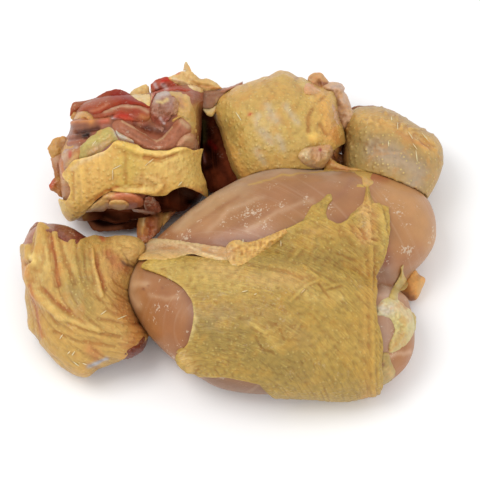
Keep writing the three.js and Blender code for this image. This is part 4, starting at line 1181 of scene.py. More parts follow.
on_breast = draped(breast)
shreds("torn_fat_top", "breast_top_fat", "fat", "fat", (206, 164, 84), [
    ([[90, 46], [87, 44], [86, 41], [88, 39], [87, 37], [84, 35]],
     [[73, 47], [80, 41], [81, 37], [83, 35]], 1.8),
    ([[82, 47], [93, 47], [96, 45]], [[82, 43], [92, 45], [96, 44]], 1.6), ([[58, 56], [67, 50], [81, 47]],
     [[55, 46], [81, 45]], 2.6),
    ([[77, 37], [82, 37]], [[77, 35], [82, 35]], 1)], on_breast, seed=2,
    dabs=[(BUTTER, [[83, 39], [86, 38]], 2.6, 0.8), (CARAMEL, [[57, 53], [63, 48], [71, 47]], 2.4, 0.9),
          (BUTTER, [[60, 50], [66, 48]], 0.9, 0.7)])
shreds("fat_at_right_end", "breast_end_fat", "fat", "fat", (220, 202, 136), [
    ([[90, -43], [94, -39], [100, -37], [104, -39], [109, -43], [114, -47], [116, -51], [116, -58],
      [113, -64], [108, -70], [101, -74]],
     [[90, -49], [94, -50], [98, -51], [100, -53], [102, -59], [98, -70], [98, -74]], 3.6,
     [([[100, -41], [107, -47], [111, -54]], 3, 1.2), ([[106, -54], [106, -63]], 1.6, -0.9)])],
    on_breast, seed=3, columns=130, rows=50, lumps=0.5,
    dabs=[((220, 206, 184), [[92, -43], [96, -47], [100, -45]], 4, 0.85),
          (HONEY, [[107, -63], [102, -70]], 3.4, 0.7),
          (CREAM, [[104, -43], [112, -51]], 3, 0.7), (AMBER, [[106, -41], [110, -45]], 0.8, 0.8)])
shreds("fat_finger", "breast_fat_finger", "fat", "fat", (206, 178, 108), [
    ([[108, -16], [108, -21], [111, -29], [109, -32], [105, -34], [104, -42]],
     [[106, -18], [106, -22], [100, -33], [97, -41]], 2.2,
     [([[107, -19], [108, -29]], 1.2, 0.8)])], on_breast, seed=4, columns=90, lumps=0.5,
    dabs=[(HONEY, [[110, -29]], 2, 0.5)])
shreds("low_fat", "breast_low_fat", "fat", "fat", (186, 158, 90), [
    ([[98, -74], [101, -83], [103, -87], [101, -91], [92, -97]],
     [[94, -74], [90, -87], [90, -97]], 2.6)], on_breast,
    seed=5, lumps=0.5, dabs=[(BUTTER, [[98, -85], [100, -89]], 2, 0.7), (UMBER, [[94, -82]], 1.8, 0.7)])


# %% The orange end behind the breast
orange_lump = Lump(seen(112, -29, 10), [((0, 0, 0), (10, 12, 9), 0)],
                   [9.5, 10.5, 9, 10.5, 12.5, 9.5, 8, 7.5, 9.5, 10, 8.5, 8.5, 10.5, 10.5, 9, 8.5],
                   facing=True)
points, quads = flesh(orange_lump, 40, [(breast, TOUCH)], depth=0.8, size=6.0, seed=6)
piece("orange_end", points, quads, finish["fat"], paint(points, (226, 160, 80), [
    (BARK, [[104, -35], [114, -41]], 3.6, 0.9), (CARAMEL, [[110, -30], [112, -37]], 3, 0.6),
    ((236, 176, 96), [[117, -23], [119, -33]], 4, 0.6)], 6), None, 0.3, "orange_tip")
print("pieces so far:", len(made))

# %% [markdown]
# ## The leg piece
# A leg is wrapped in a larger sheet of skin, which hangs in a fan of folds from its top left. Its dark
# meat shows at the two upper corners and at the lower right. The folds carry painted light on their
# ridges and painted shade in their grooves.

# %% Leg
LEG = dict(
    middle=seen(-102, -41, 24),
    lobes=[((0, 0, 0), (40, 50, 33), 0), ((-14, 16, -4), (30, 36, 27), 0), ((16, -16, -4), (30, 34, 25), 0)],
    outline=[30, 30, 38, 53, 50, 44, 45, 55, 62, 60, 49, 41, 38, 37, 38, 38, 40, 44, 47, 42, 43, 50, 48, 35])
LEG_SIDES = dict(
    top=[[-149, -14], [-143, -8], [-135, -3], [-132, 4], [-128, 7], [-123, 5], [-117, 1], [-108, -2],
         [-100, 0], [-93, 4], [-84, 5], [-73, 4], [-59, 2]],
    right=[[-59, 2], [-62, -14], [-67, -33], [-65, -47], [-58, -56]],
    bottom=[[-136, -74], [-121, -89], [-106, -96], [-86, -79], [-74, -72], [-58, -56]],
    left=[[-149, -14], [-147, -33], [-144, -52], [-136, -74]])
LEG_CREASES = [
    ([[-129, 6], [-129, -6], [-131, -14], [-135, -21], [-136, -29], [-131, -37], [-115, -50]], 3, 3.4),
    ([[-115, -50], [-106, -54], [-94, -58]], 2.4, 1.6), ([[-137, -8], [-137, -14]], 2.4, 2.4),
    ([[-138, -17], [-134, -17]], 1.4, -1.8),
    ([[-125, 3], [-119, -30]], 1.7, -2.4), ([[-128, -33], [-121, -41], [-112, -47]], 1.7, -1.4),
    ([[-139, -29], [-135, -38], [-131, -63]], 1.7, -2), ([[-141, -34], [-138, -45], [-136, -56]], 2.2, 1.4),
    ([[-98, -10], [-97, -18], [-92, -37]], 1, 2), ([[-95, -12], [-95, -18], [-90, -33]], 1.2, -1.6),
    ([[-80, -12], [-76, -16], [-69, -18]], 1.8, -1.4), ([[-86, -6], [-78, -18]], 6, -0.9),
    ([[-115, -52], [-99, -59], [-81, -62]], 1.3, -1.1), ([[-121, -59], [-106, -65], [-84, -68]], 1.3, -1),
    ([[-119, -50], [-106, -58], [-86, -64]], 1.6, 0.9), ([[-119, 0], [-115, -14], [-108, -29]], 1.6, -0.9),
    ([[-121, 0], [-118, -14], [-114, -29]], 1.6, 0.9), ([[-94, -51], [-79, -54], [-67, -54]], 1.5, -0.8)]
LEG_SKIN, LEG_RIDGE_LIGHT, LEG_GROOVE_SHADE, LEG_RED = (200, 160, 88), (222, 188, 114), (184, 108, 48), (186, 118, 66)
LEG_DABS = [
    (OLIVE_SKIN, [[-111, -30], [-103, -45], [-106, -14]], 8, 0.8),
    # Pale and straw dabs on raised folds: painted light. Dark orange dabs in sunken folds: painted shade.
    (LEG_RIDGE_LIGHT, [[-128, 0], [-129, -14], [-135, -29], [-124, -43]], 3.4, 0.85),
    (STRAW, [[-138, -10], [-136, -14]], 2.4, 0.8), (LEG_RIDGE_LIGHT, [[-119, -50], [-95, -58]], 2, 0.6),
    (LEG_RIDGE_LIGHT, [[-98, -10], [-97, -18], [-92, -37]], 1, 0.85), (LEG_RIDGE_LIGHT, [[-117, -5], [-110, -19]], 4, 0.4),
    (LEG_GROOVE_SHADE, [[-125, 2], [-119, -29]], 1.6, 0.95),
    (LEG_GROOVE_SHADE, [[-139, -30], [-134, -47], [-131, -63]], 1.7, 0.85),
    (LEG_GROOVE_SHADE, [[-128, -33], [-121, -41], [-112, -47]], 1.4, 0.6),
    (LEG_GROOVE_SHADE, [[-95, -12], [-94, -19], [-90, -31]], 1.4, 0.8), (AMBER, [[-144, -14], [-141, -23]], 3, 0.7),
    # The rust and cocoa dabs in the crease at the upper right corner are painted shade.
    (RUST, [[-87, -8], [-82, -14], [-75, -19]], 4, 0.75),
    (COCOA, [[-79, -13], [-75, -16], [-69, -18]], 1.3, 0.9),
    (BUTTER, [[-81, 0], [-73, -2], [-66, -8]], 6, 0.7), (LEG_RED, [[-84, -18], [-78, -39]], 5, 0.5),
    (LEG_RED, [[-77, -46], [-65, -58], [-71, -68]], 7, 0.8), (CARAMEL, [[-99, -72], [-94, -76]], 4, 0.7),
    (CHESTNUT, [[-69, -39], [-62, -56]], 3.4, 0.85), (BRICK, [[-92, 3], [-90, 1]], 1.4, 0.8),
    (HONEY, [[-110, -87], [-102, -88]], 5, 0.6), ((180, 180, 186), [[-100, -83], [-88, -78]], 1.3, 0.95)]
LEG_FLOW = [-67, -14]
leg_wrinkles = wrinkles_of(LEG_FLOW, [(0.36, 4.6, 26, 15), (0.16, 2.4, 12, 19)],
                           (0.5, 14, 14), (0.12, 2.4, 18))

leg = Lump(**LEG, coat=SKIN + CLEAR)
points, quads = flesh(leg, 74, [(breast, OVER_SKIN)], seed=2)
bulges = [ribbon(draped(leg, CLEAR), first, second, 3.4, lumps=0.5, soft=0.5, seed=17) for first, second in (
    ([[-145, -10], [-144, -4], [-141, 3], [-138, 8], [-134, 12], [-129, 12], [-120, 7]],
     [[-141, -10], [-134, -4], [-132, 1], [-129, 4], [-125, 5], [-119, 2]]),
    ([[-123, 9], [-118, 7], [-112, 7], [-108, 6], [-100, 0]],
     [[-121, 2], [-116, -1], [-111, -3], [-106, -3], [-100, 0]]),
    ([[-61, -58], [-69, -68], [-75, -72], [-83, -76]],
     [[-60, -63], [-62, -69], [-67, -75], [-74, -78], [-83, -79]]))]
points, quads = joined((points, quads), *bulges)
piece("leg_dark_meat", points, quads, finish["meat"], paint(points, (128, 66, 46), [
    (CLAY, [[-143, -6], [-139, 4], [-131, 10]], 5, 0.9), (SHELL, [[-132, 10], [-125, 9]], 2.4, 0.6),
    ((110, 36, 26), [[-107, 4], [-102, 0]], 3, 0.9), (UMBER, [[-119, 5], [-112, 3]], 2, 0.6),
    (BARK, [[-84, -76], [-69, -74], [-62, -66]], 6, 0.9),
    ((108, 66, 58), [[-83, -77], [-78, -76]], 2.6, 0.8)], 5),
    swirl(points, LEG_FLOW), 0.7, "leg_meat")
points, quads = sheet(leg, LEG_SIDES, 196, 184, LEG_CREASES, leg_wrinkles, [(breast, TOUCH)])
piece("leg_skin_sheet", points, quads, finish["skin"], paint(points, LEG_SKIN, LEG_DABS, 21, 1.2),
      swirl(points, LEG_FLOW), 0.4, "leg_skin")
shreds("leg_rolled_edge", "leg_skin_roll", "skin", "skin", (212, 166, 98), [
    ([[-79, -6], [-77, -9], [-75, -12], [-67, -17]],
     [[-69, -2], [-65, -4], [-64, -6], [-64, -11], [-65, -16]],
     1.2, (), (5, 0.2))], draped(leg, CLEAR + SKIN + SUNK), seed=7, columns=70, soft=1.2,
    dabs=[(BUTTER, [[-70, 0], [-65, -6]], 3, 0.7),
          # The dark line along the roll's crease side is painted shade.
          ((150, 92, 46), [[-79, -8], [-74, -14], [-67, -17]], 1.3, 0.8)])
print("leg skin:", made["leg_skin_sheet"], "triangles")

# %% [markdown]
# ## The thigh
# The thigh's skin is drawn tight over it, paler, with see-through patches where lilac flesh shows. A
# knuckle of gristle sits at its lower right, and cut meat at its upper right.

# %% Thigh
THIGH = dict(middle=seen(28, 72, 34), lobes=[((0, 0, 0), (48, 40, 36), 8), ((-12, 8, 4), (34, 30, 32), 0)],
             outline=[40, 39, 41, 38, 38, 41, 38, 40, 45, 48, 41, 40, 42, 44, 43, 43, 45, 49, 46, 43])
THIGH_SIDES = dict(
    top=[[-20, 83], [-17, 98], [7, 111], [30, 121], [44, 114], [51, 103]],
    right=[[51, 103], [61, 93], [65, 80], [67, 69], [61, 63]],
    bottom=[[4, 39], [18, 32], [34, 36], [48, 53], [61, 63]], left=[[-20, 83], [4, 39]])
THIGH_CREASES = [
    ([[15, 106], [22, 111], [29, 113], [37, 109], [42, 105]], 1.6, 1.4),
    ([[20, 106], [29, 109], [37, 105]], 1.4, -0.9),
    ([[48, 68]], 3.4, 2.6), ([[54, 94], [48, 89], [44, 81], [44, 72]], 1.3, -1.2),
    ([[57, 91], [54, 80], [58, 66]], 5, 1.6),
    ([[58, 95], [51, 93], [47, 87]], 1.4, 1), ([[-9, 94], [-12, 85], [-5, 66], [4, 45]], 2.6, 1),
    ([[62, 74], [65, 65]], 2.6, 1.2), ([[51, 76], [54, 70]], 1.6, -0.8)]
THIGH_SKIN, LILAC, THIGH_ORANGE = (201, 167, 93), (198, 176, 140), (224, 170, 92)
THIGH_DABS = [
    (THIGH_ORANGE, [[-18, 83], [-12, 68], [-1, 49], [7, 39]], 4, 0.8),
    (THIGH_ORANGE, [[-12, 94], [0, 101], [15, 106]], 3, 0.5),
    (HONEY, [[-1, 95], [15, 98], [33, 99]], 8, 0.6), (HONEY, [[15, 48], [37, 54]], 6, 0.6),
    (HONEY, [[16, 106], [29, 112], [41, 107]], 2.2, 0.8), (LILAC, [[18, 89], [24, 78]], 3, 0.85),
    (LILAC, [[12, 83], [11, 77]], 1.8, 0.7), (LILAC, [[30, 89], [37, 78]], 2.4, 0.8),
    (LILAC, [[15, 72], [20, 65]], 3.2, 0.85),
    (LILAC, [[25, 69], [29, 61]], 2.4, 0.8), (LILAC, [[11, 60], [16, 52]], 2.4, 0.7),
    (THIGH_ORANGE, [[51, 97], [58, 85], [59, 70]], 7, 0.95),
    (HONEY, [[54, 94], [48, 89], [44, 81], [44, 72]], 1.2, 0.85), ((186, 70, 40), [[7, 83]], 1.3, 0.95),
    ((236, 192, 100), [[48, 68]], 3.4, 0.85), (AMBER, [[62, 73], [65, 65]], 3, 0.8),
    (STRAW, [[42, 103], [48, 95]], 2.4, 0.6)]
THIGH_FLOW = [-59, 119]
thigh_wrinkles = wrinkles_of(THIGH_FLOW, [(0.1, 4, 12, 25)], (0.4, 12, 24), (0.16, 2.6, 28))

thigh = Lump(**THIGH, coat=SKIN + CLEAR)
points, quads = flesh(thigh, 62, [(breast, OVER_SKIN)], seed=4)
lobes = [ribbon(draped(thigh, SUNK), first, second, 3.4, lumps=0.5, seed=15) for first, second in (
    ([[61, 64], [64, 65], [67, 63], [67, 60]], [[61, 61], [63, 58], [65, 58], [67, 58]]),
    ([[62, 58], [65, 58], [68, 56], [69, 52]], [[62, 54], [64, 51], [67, 49], [69, 49]]))]
points, quads = joined((points, quads), *lobes)
piece("thigh_dark_meat", points, quads, finish["meat"], paint(points, (150, 86, 64), [
    # The bark and near-black dabs on the left side, which faces the gap by the back, are painted shade.
    (BARK, [[-22, 85], [-5, 37]], 6, 0.95), ((70, 28, 16), [[-21, 77], [-16, 62]], 2.4, 0.8),
    (RUST, [[-15, 70], [2, 41]], 2.2, 0.9), (BRONZE, [[62, 62], [67, 53]], 6, 0.9),
    (HONEY, [[63, 62], [64, 60]], 1.6, 0.6)], 6), swirl(points, THIGH_FLOW), 0.5, "thigh_meat")
points, quads = sheet(thigh, THIGH_SIDES, 132, 128, THIGH_CREASES, thigh_wrinkles, [(breast, TOUCH)])
piece("thigh_skin_sheet", points, quads, finish["plump"],
      paint(points, THIGH_SKIN, THIGH_DABS, 31, 1.8), swirl(points, THIGH_FLOW), 0.5, "thigh_skin")
on_thigh = draped(thigh, CLEAR + SKIN + SUNK)
shreds("thigh_knuckle_end", "thigh_knuckle", "fat", "fat", (212, 166, 122), [
    ([[38, 56], [40, 59], [43, 61], [52, 63], [57, 64], [60, 64], [62, 60]],
     [[39, 54], [40, 52], [44, 49], [51, 47], [55, 48], [61, 56]], 6,
     [([[48, 60], [48, 54], [47, 49]], 1.4, -1.6), ([[53, 62], [57, 58], [57, 52]], 2, 1.2),
      ([[42, 58], [44, 53]], 2, 0.9), ([[52, 54], [51, 49]], 1.6, 0.9)])], on_thigh, seed=9, columns=80,
      rows=40, lumps=0.35, wet=0.6, ragged=0.5,
    dabs=[(CREAM, [[40, 56], [43, 58], [44, 53]], 3.6, 0.9), (FAWN, [[49, 58], [51, 56]], 3, 0.6),
          ((158, 50, 40), [[53, 60]], 1.1, 0.95),
          (BUTTER, [[56, 53], [52, 50]], 2.4, 0.7), (CREAM, [[58, 58], [57, 54]], 1.6, 0.6)])
shreds("thigh_upper_knob", "thigh_top_knob", "fat", "fat", (220, 168, 112), [
    ([[42, 100], [44, 105], [46, 109], [50, 111], [53, 111], [60, 103]],
     [[42, 97], [47, 96], [60, 100]], 5,
     [([[46, 102], [49, 106], [51, 107]], 2, 1), ([[52, 106], [53, 102]], 1.2, -1.2)])], on_thigh, seed=10,
    dabs=[(CHESTNUT, [[53, 104], [57, 103]], 2, 0.85), ((222, 152, 110), [[44, 101], [48, 103]], 2.4, 0.6),
          (CARAMEL, [[50, 107]], 1.6, 0.6)])
shreds("thigh_cut_end", "thigh_meat_end", "fat", "dark_meat", (222, 178, 138), [
    ([[54, 103], [60, 105], [66, 104], [69, 101], [69, 98], [71, 95], [74, 87], [77, 84], [77, 80], [73, 75],
      [69, 72]],
     [[51, 99], [55, 98], [58, 96], [59, 87], [64, 72]], 7,
     [([[66, 101], [72, 85]], 2.6, 1.2), ([[63, 95], [65, 90]], 2, -1.4), ([[67, 85], [69, 76]], 1.6, 0.8)])],
    on_thigh, seed=11, columns=110, rows=36, wet=0.6,
    dabs=[(SHELL, [[61, 101], [66, 102], [67, 99]], 2.2, 0.85), (CLAY, [[62, 95], [63, 90]], 2.4, 0.7),
          (FAWN, [[64, 89], [68, 86]], 2, 0.8),
          (SHELL, [[67, 95], [70, 90]], 2, 0.6), (FAWN, [[66, 81], [70, 76]], 3.6, 0.6),
          (HONEY, [[72, 85], [75, 85]], 1.2, 0.7)])
print("thigh skin:", made["thigh_skin_sheet"], "triangles")

# %% [markdown]
# ## The drumstick
# The drumstick lies behind the right end. Its skin has the plainest goose bumps of all, and the flesh
# shows lilac through its lower half.

# %% Drumstick
DRUM = dict(middle=seen(102, 54, 26), lobes=[((0, 0, 0), (34, 50, 28), 24)],
            outline=[32, 32, 28, 28, 32, 39, 44, 37, 35, 35, 35, 36, 37, 36, 32, 31])
DRUM_SIDES = dict(
    top=[[66, 82], [74, 85], [88, 86], [100, 84], [111, 79], [129, 73], [141, 61]],
    right=[[141, 61], [140, 45], [131, 24]], bottom=[[65, 33], [86, 23], [106, 19], [131, 24]],
    left=[[66, 82], [63, 66], [65, 33]])
DRUM_TONE, DRUM_ORANGE, DRUM_LILAC = (176, 144, 84), (222, 176, 102), (176, 153, 127)
DRUM_DABS = [
    (DRUM_ORANGE, [[81, 81], [99, 77], [114, 70], [127, 61]], 6, 0.9),
    (CARAMEL, [[104, 72], [116, 64]], 2, 0.5), (HONEY, [[87, 85], [100, 83]], 2.4, 0.7),
    (DRUM_LILAC, [[87, 60], [100, 58], [119, 45], [114, 36]], 8, 0.85),
    ((172, 148, 92), [[78, 73], [78, 47]], 7, 0.6), (BRONZE, [[69, 73], [69, 48]], 3, 0.6),
    (HONEY, [[131, 48], [127, 30]], 5, 0.5), (CARAMEL, [[119, 64], [124, 62]], 1.8, 0.6)]
DRUM_FLOW = [102, -39]


def drum_wrinkles(places):
    """Goose bumps in loose rows, and soft unevenness."""
    bumps = soft_step(noise(places, 2.3, 35), 0.1, 0.8)
    top = soft_step(places[..., 1], 40.0, 70.0)
    return 0.45 * rough(places, 14.0, 34) + (0.25 + 0.9 * top) * bumps + 0.3 * top * rough(places, 5.0, 36)


drum = Lump(**DRUM, coat=SKIN + CLEAR)
points, quads = flesh(drum, 56, [(breast, OVER_SKIN), (thigh, OVER_SKIN + SKIN + CLEAR)], seed=6)
rim = ribbon(draped(drum, SUNK), [[72, 87], [77, 89], [82, 89], [88, 89], [100, 86], [106, 83]],
             [[72, 84], [91, 84], [107, 80]], 3, seed=16, columns=90, lumps=0.4)
side = ribbon(draped(drum, SUNK), [[69, 76], [67, 62], [68, 47]], [[74, 76], [73, 61], [75, 47]],
              3.0, seed=18, lumps=0.4, sink=6.0)
points, quads = joined((points, quads), rim, side)
piece("drumstick_meat", points, quads, finish["meat"], paint(points, (156, 98, 58), [
    (CARAMEL, [[95, 86], [104, 83]], 1.8, 0.7), (UMBER, [[69, 74], [69, 49]], 5, 0.8)], 7),
      swirl(points, DRUM_FLOW), 0.5, "drum_meat")
points, quads = sheet(drum, DRUM_SIDES, 128, 116,
                      [([[114, 68], [118, 66]], 1.4, -1.6), ([[119, 64], [124, 61]], 1.6, -1.8),
                       ([[115, 64], [121, 60]], 1.2, 0.9)], drum_wrinkles,
                      [(breast, TOUCH), (thigh, OVER_SKIN)])
piece("drumstick_skin", points, quads, finish["plump"], paint(points, DRUM_TONE, DRUM_DABS, 41, 1.6),
      swirl(points, DRUM_FLOW), 0.4, "drum_skin")
print("drumstick skin:", made["drumstick_skin"], "triangles")

# %% [markdown]
# ## The back
# The back is the roughest piece: a box of ribs, cut across at the top, with a hollow that opens low in
# front. Its body carries the hollows as deep relief, painted almost black where no light would reach.
# On it lie red muscle, fat, the wavy edge of the ribs' meat, a hip joint and shreds of thin skin.

# %% The back's body
BACK = dict(middle=seen(-69, 56, 36), blend=8.0,
            lobes=[((0, 0, 0), (62, 40, 40), 0), ((-16, 4, 6), (48, 38, 34), 0),
                   ((20, 6, 2), (44, 40, 38), 0)],
            outline=[42, 44, 50, 62, 53, 43, 40, 41, 44, 48, 47, 46, 49, 51, 55, 58, 50, 47, 43, 42, 46, 52,
                     52, 44])
BACK_HOLLOWS = [
    ([[-48, 25], [-32, 27]], 9, -20), ([[-92, 17], [-73, 17]], 5, -12),
    ([[-59, 76], [-50, 74]], 7, -5), ([[-36, 93], [-32, 73]], 6, 3)]
BACK_RELIEF = [
    ([[-102, 69]], 2, -3), ([[-33, 25]], 3, -4), ([[-110, 77], [-86, 79]], 1.8, 2.2),
    ([[-108, 72], [-94, 74]], 1.4, -1.8), ([[-112, 64], [-103, 66]], 1.6, 1.4),
    ([[-114, 68], [-104, 70]], 1.2, 1), ([[-50, 35], [-49, 23]], 2, 2),
    ([[-42, 33], [-40, 21]], 1.8, 1.6), ([[-119, 53], [-115, 43]], 2.4, 1.2),
    ([[-58, 81], [-49, 76]], 2.6, 1.6),
    ([[-69, 77], [-59, 73]], 1.6, -1.6), ([[-79, 85], [-70, 82]], 2, 1.2), ([[-95, 17], [-73, 16]], 2.2, -2)]
RIB_MEAT, CAVITY_SHADE, HOLE_SHADE, MEMBRANE = (158, 94, 66), (70, 32, 18), (10, 4, 3), (206, 190, 180)
# The cavity, black and cocoa dabs lie in the hollows, the grooves and the right side facing the gap: they are
# painted shade over the meat's own dark colour.
BACK_DABS = [
    (UMBER, [[-111, 73], [-84, 78]], 7, 0.9), (AMBER, [[-110, 83], [-100, 81], [-98, 79]], 2.4, 0.85),
    (COCOA, [[-107, 70], [-94, 74]], 1.8, 0.8), (CARAMEL, [[-111, 78], [-87, 82]], 1.4, 0.7),
    (HOLE_SHADE, [[-103, 69], [-100, 70]], 2, 0.9), (CHESTNUT, [[-77, 77], [-45, 74]], 5, 0.9),
    (COCOA, [[-62, 75], [-55, 72], [-51, 74]], 1.8, 0.8), (FAWN, [[-66, 77], [-59, 81]], 1.6, 0.7),
    ((196, 60, 44), [[-81, 84], [-74, 82]], 2.4, 0.9), ((222, 180, 170), [[-84, 82], [-71, 85]], 1.6, 0.6),
    ((200, 100, 70), [[-91, 78], [-88, 79]], 2.2, 0.8), ((170, 60, 44), [[-70, 81], [-63, 78]], 2.2, 0.6),
    (BRONZE, [[-62, 81], [-54, 76]], 3, 0.6), (UMBER, [[-53, 85], [-48, 81]], 3.4, 0.6),
    (MEMBRANE, [[-81, 71], [-59, 60]], 1.6, 0.7), (SHELL, [[-117, 58], [-108, 62]], 2, 0.8),
    (BRICK, [[-112, 58], [-111, 56]], 1.6, 0.8), (CARAMEL, [[-117, 50], [-117, 39], [-121, 35]], 5, 0.8),
    (HONEY, [[-29, 87], [-32, 70]], 3.4, 0.8), (FAWN, [[-41, 62], [-32, 66]], 4.6, 0.8),
    (SHELL, [[-29, 60], [-27, 49]], 1.4, 0.6),
    (COCOA, [[-24, 85], [-24, 60]], 4.4, 0.95), (CHESTNUT, [[-25, 57], [-23, 32]], 3, 0.9),
    (HONEY, [[-115, 24], [-103, 17]], 4, 0.7),
    (CAVITY_SHADE, [[-58, 21], [-53, 29], [-40, 33], [-26, 28]], 7.5, 0.98),
    (CAVITY_SHADE, [[-50, 23], [-36, 20]], 7, 0.98),
    (BARK, [[-48, 25], [-43, 22]], 2.6, 0.8), ((100, 72, 60), [[-38, 32], [-32, 30]], 2.4, 0.7),
    (BARK, [[-57, 28], [-54, 21]], 3, 0.6), (BARK, [[-28, 31], [-24, 27]], 2.4, 0.8),
    (HOLE_SHADE, [[-34, 25], [-31, 25]], 2.6, 0.98), (COCOA, [[-98, 19], [-79, 15], [-55, 17]], 4.6, 0.95),
    (HOLE_SHADE, [[-90, 16], [-81, 14]], 2.2, 0.6),
    (UMBER, [[-51, 16], [-42, 17]], 3, 0.8), (BARK, [[-41, 19], [-34, 22]], 2, 0.7)]
DEEP = [([[-59, 21], [-53, 28], [-40, 32], [-25, 28]], 7), ([[-53, 20], [-34, 20]], 6),
        ([[-98, 17], [-79, 14], [-59, 16]], 6), ([[-22, 85], [-22, 27]], 7)]
BACK_FLOW = [-73, -59]

back = Lump(**BACK, folds=BACK_HOLLOWS)
directions, quads = ball(104)
plain = back.point(directions)
facing = soft_step(directions @ TOWARDS, -0.1, 0.3)
lift = 0.8 * rough(plain, 9.0, 51) + relief(picture(plain), BACK_RELIEF) * facing
points = press(back.point(directions, lift), back.middle, [(breast, SKIN + CLEAR)])
deep = dab_mask(points, [(1.0, path, width) for path, width in DEEP]) * (directions @ TOWARDS > 0) > 0.35
piece("back_frame", points, quads, finish["meat"], paint(points, RIB_MEAT, BACK_DABS, 52, 1.2),
      swirl(points, BACK_FLOW), 0.5 * ~deep, "back_body", inner=deep)
print("back:", made["back_frame"], "triangles")

# %% The back's skin
BACK_SIDES = dict(
    top=[[-111, 49], [-106, 54], [-99, 55], [-90, 59], [-82, 65], [-77, 66], [-70, 64], [-63, 60], [-56, 59],
         [-41, 61], [-34, 60], [-28, 60]],
    right=[[-28, 60], [-29, 53], [-28, 45], [-23, 28]],
    bottom=[[-121, 15], [-115, 14], [-106, 16], [-89, 31], [-82, 34], [-71, 34], [-53, 31], [-46, 34],
            [-38, 36], [-30, 33], [-23, 28]],
    left=[[-111, 49], [-115, 44], [-110, 35], [-112, 29], [-119, 28], [-121, 22], [-121, 15]])
BACK_SKIN, BACK_ORANGE, BACK_OLIVE = (230, 188, 104), (240, 188, 110), (210, 178, 88)
BACK_SKIN_DABS = [
    (BACK_OLIVE, [[-74, 60], [-74, 35]], 8, 0.7), (BACK_ORANGE, [[-96, 54], [-98, 27]], 9, 0.5),
    (BACK_ORANGE, [[-66, 35], [-50, 40]], 6, 0.6), (BUTTER, [[-66, 40], [-55, 37]], 4, 0.7),
    (STRAW, [[-50, 54], [-33, 45]], 9, 0.6), (STRAW, [[-66, 60], [-53, 56], [-38, 61]], 1.8, 0.8),
    (CARAMEL, [[-63, 55], [-54, 54], [-45, 57]], 1.4, 0.6),
    (STRAW, [[-78, 35], [-57, 34], [-54, 37]], 1.5, 0.9),
    ((194, 116, 54), [[-96, 27], [-88, 33], [-81, 35]], 1.2, 0.8),
    (PALE_SKIN, [[-119, 27], [-119, 17]], 3, 0.7),
    (HONEY, [[-100, 23], [-108, 17]], 3, 0.5), (CREAM, [[-111, 47], [-103, 53], [-90, 58]], 1.6, 0.7),
    (CARAMEL, [[-37, 35], [-26, 32]], 2.4, 0.7)]
BACK_SKIN_CREASES = [
    ([[-81, 64], [-66, 58], [-53, 56], [-38, 61], [-28, 61]], 1.8, 1.6),
    ([[-63, 55], [-53, 53], [-44, 57]], 1.6, -1.2),
    ([[-82, 35], [-57, 34], [-54, 37]], 1.8, 1.6), ([[-96, 27], [-88, 33], [-81, 36], [-66, 37]], 1.6, -1.4),
    ([[-75, 56], [-75, 36]], 2, -0.6), ([[-102, 49], [-100, 27]], 2, 0.7), ([[-29, 58], [-27, 40]], 2.2, 1),
    ([[-62, 43], [-55, 40]], 1.8, 0.8), ([[-108, 45], [-108, 29]], 1.6, -0.8),
    ([[-120, 24], [-117, 16]], 1.6, 0.8)]
BACK_UPRIGHT, BACK_FIBRES = [-320, 40], [-60, 420]      # so far off that arcs round them look straight
back_wrinkles = wrinkles_of(BACK_UPRIGHT, [(0.07, 3.6, 16, 55)], (0.45, 13, 54), (0.12, 2.4, 58))

smooth_back = Lump(**BACK)
points, quads = sheet(smooth_back, BACK_SIDES, 176, 92, BACK_SKIN_CREASES, back_wrinkles,
                      [(breast, TOUCH)], ragged=1)
piece("back_skin_sheet", points, quads, finish["plump"],
      paint(points, BACK_SKIN, BACK_SKIN_DABS, 61, 1.8), swirl(points, BACK_FIBRES), 0.45, "back_skin")
print("back skin:", made["back_skin_sheet"], "triangles")


# %% Red muscle on the back
RED, DEEP_RED, DULL_RED, BROWN_MEAT = (160, 60, 32), (150, 34, 18), (166, 62, 44), (176, 112, 78)
# The lilac film tone is a painted highlight: the sheen of the wet film.
ROSY_MEAT, LILAC_FILM_SHEEN, PALE_LINE, OCHRE = (206, 132, 98), (210, 186, 180), (224, 190, 146), (208, 150, 80)
on_back = draped(back)
shreds("shoulder_muscle", "back_red_muscle", "muscle", "red_muscle", RED, [
    ([[-112, 88], [-110, 91], [-99, 93], [-86, 99], [-81, 100], [-77, 99], [-59, 89]],
     [[-112, 82], [-106, 85], [-100, 85], [-96, 82], [-79, 89], [-71, 89], [-59, 87]],
     4.6, [([[-95, 93], [-84, 97], [-77, 97]], 4, 1.4), ([[-94, 86], [-90, 89]], 1.4, -0.8)])], on_back,
     seed=71, columns=140, rows=44, lumps=0.2, wet=0.35, soft=1.1,
    dabs=[(RUST, [[-107, 87], [-87, 93]], 5, 0.8),
          (BROWN_MEAT, [[-112, 87], [-107, 91], [-99, 93]], 2.6, 0.8),
          (DEEP_RED, [[-84, 96], [-81, 98], [-75, 97]], 2.6, 0.8),
          (DEEP_RED, [[-75, 93], [-71, 93]], 3.2, 0.7),
          (ROSY_MEAT, [[-99, 85], [-93, 87], [-88, 90]], 1, 0.6)])
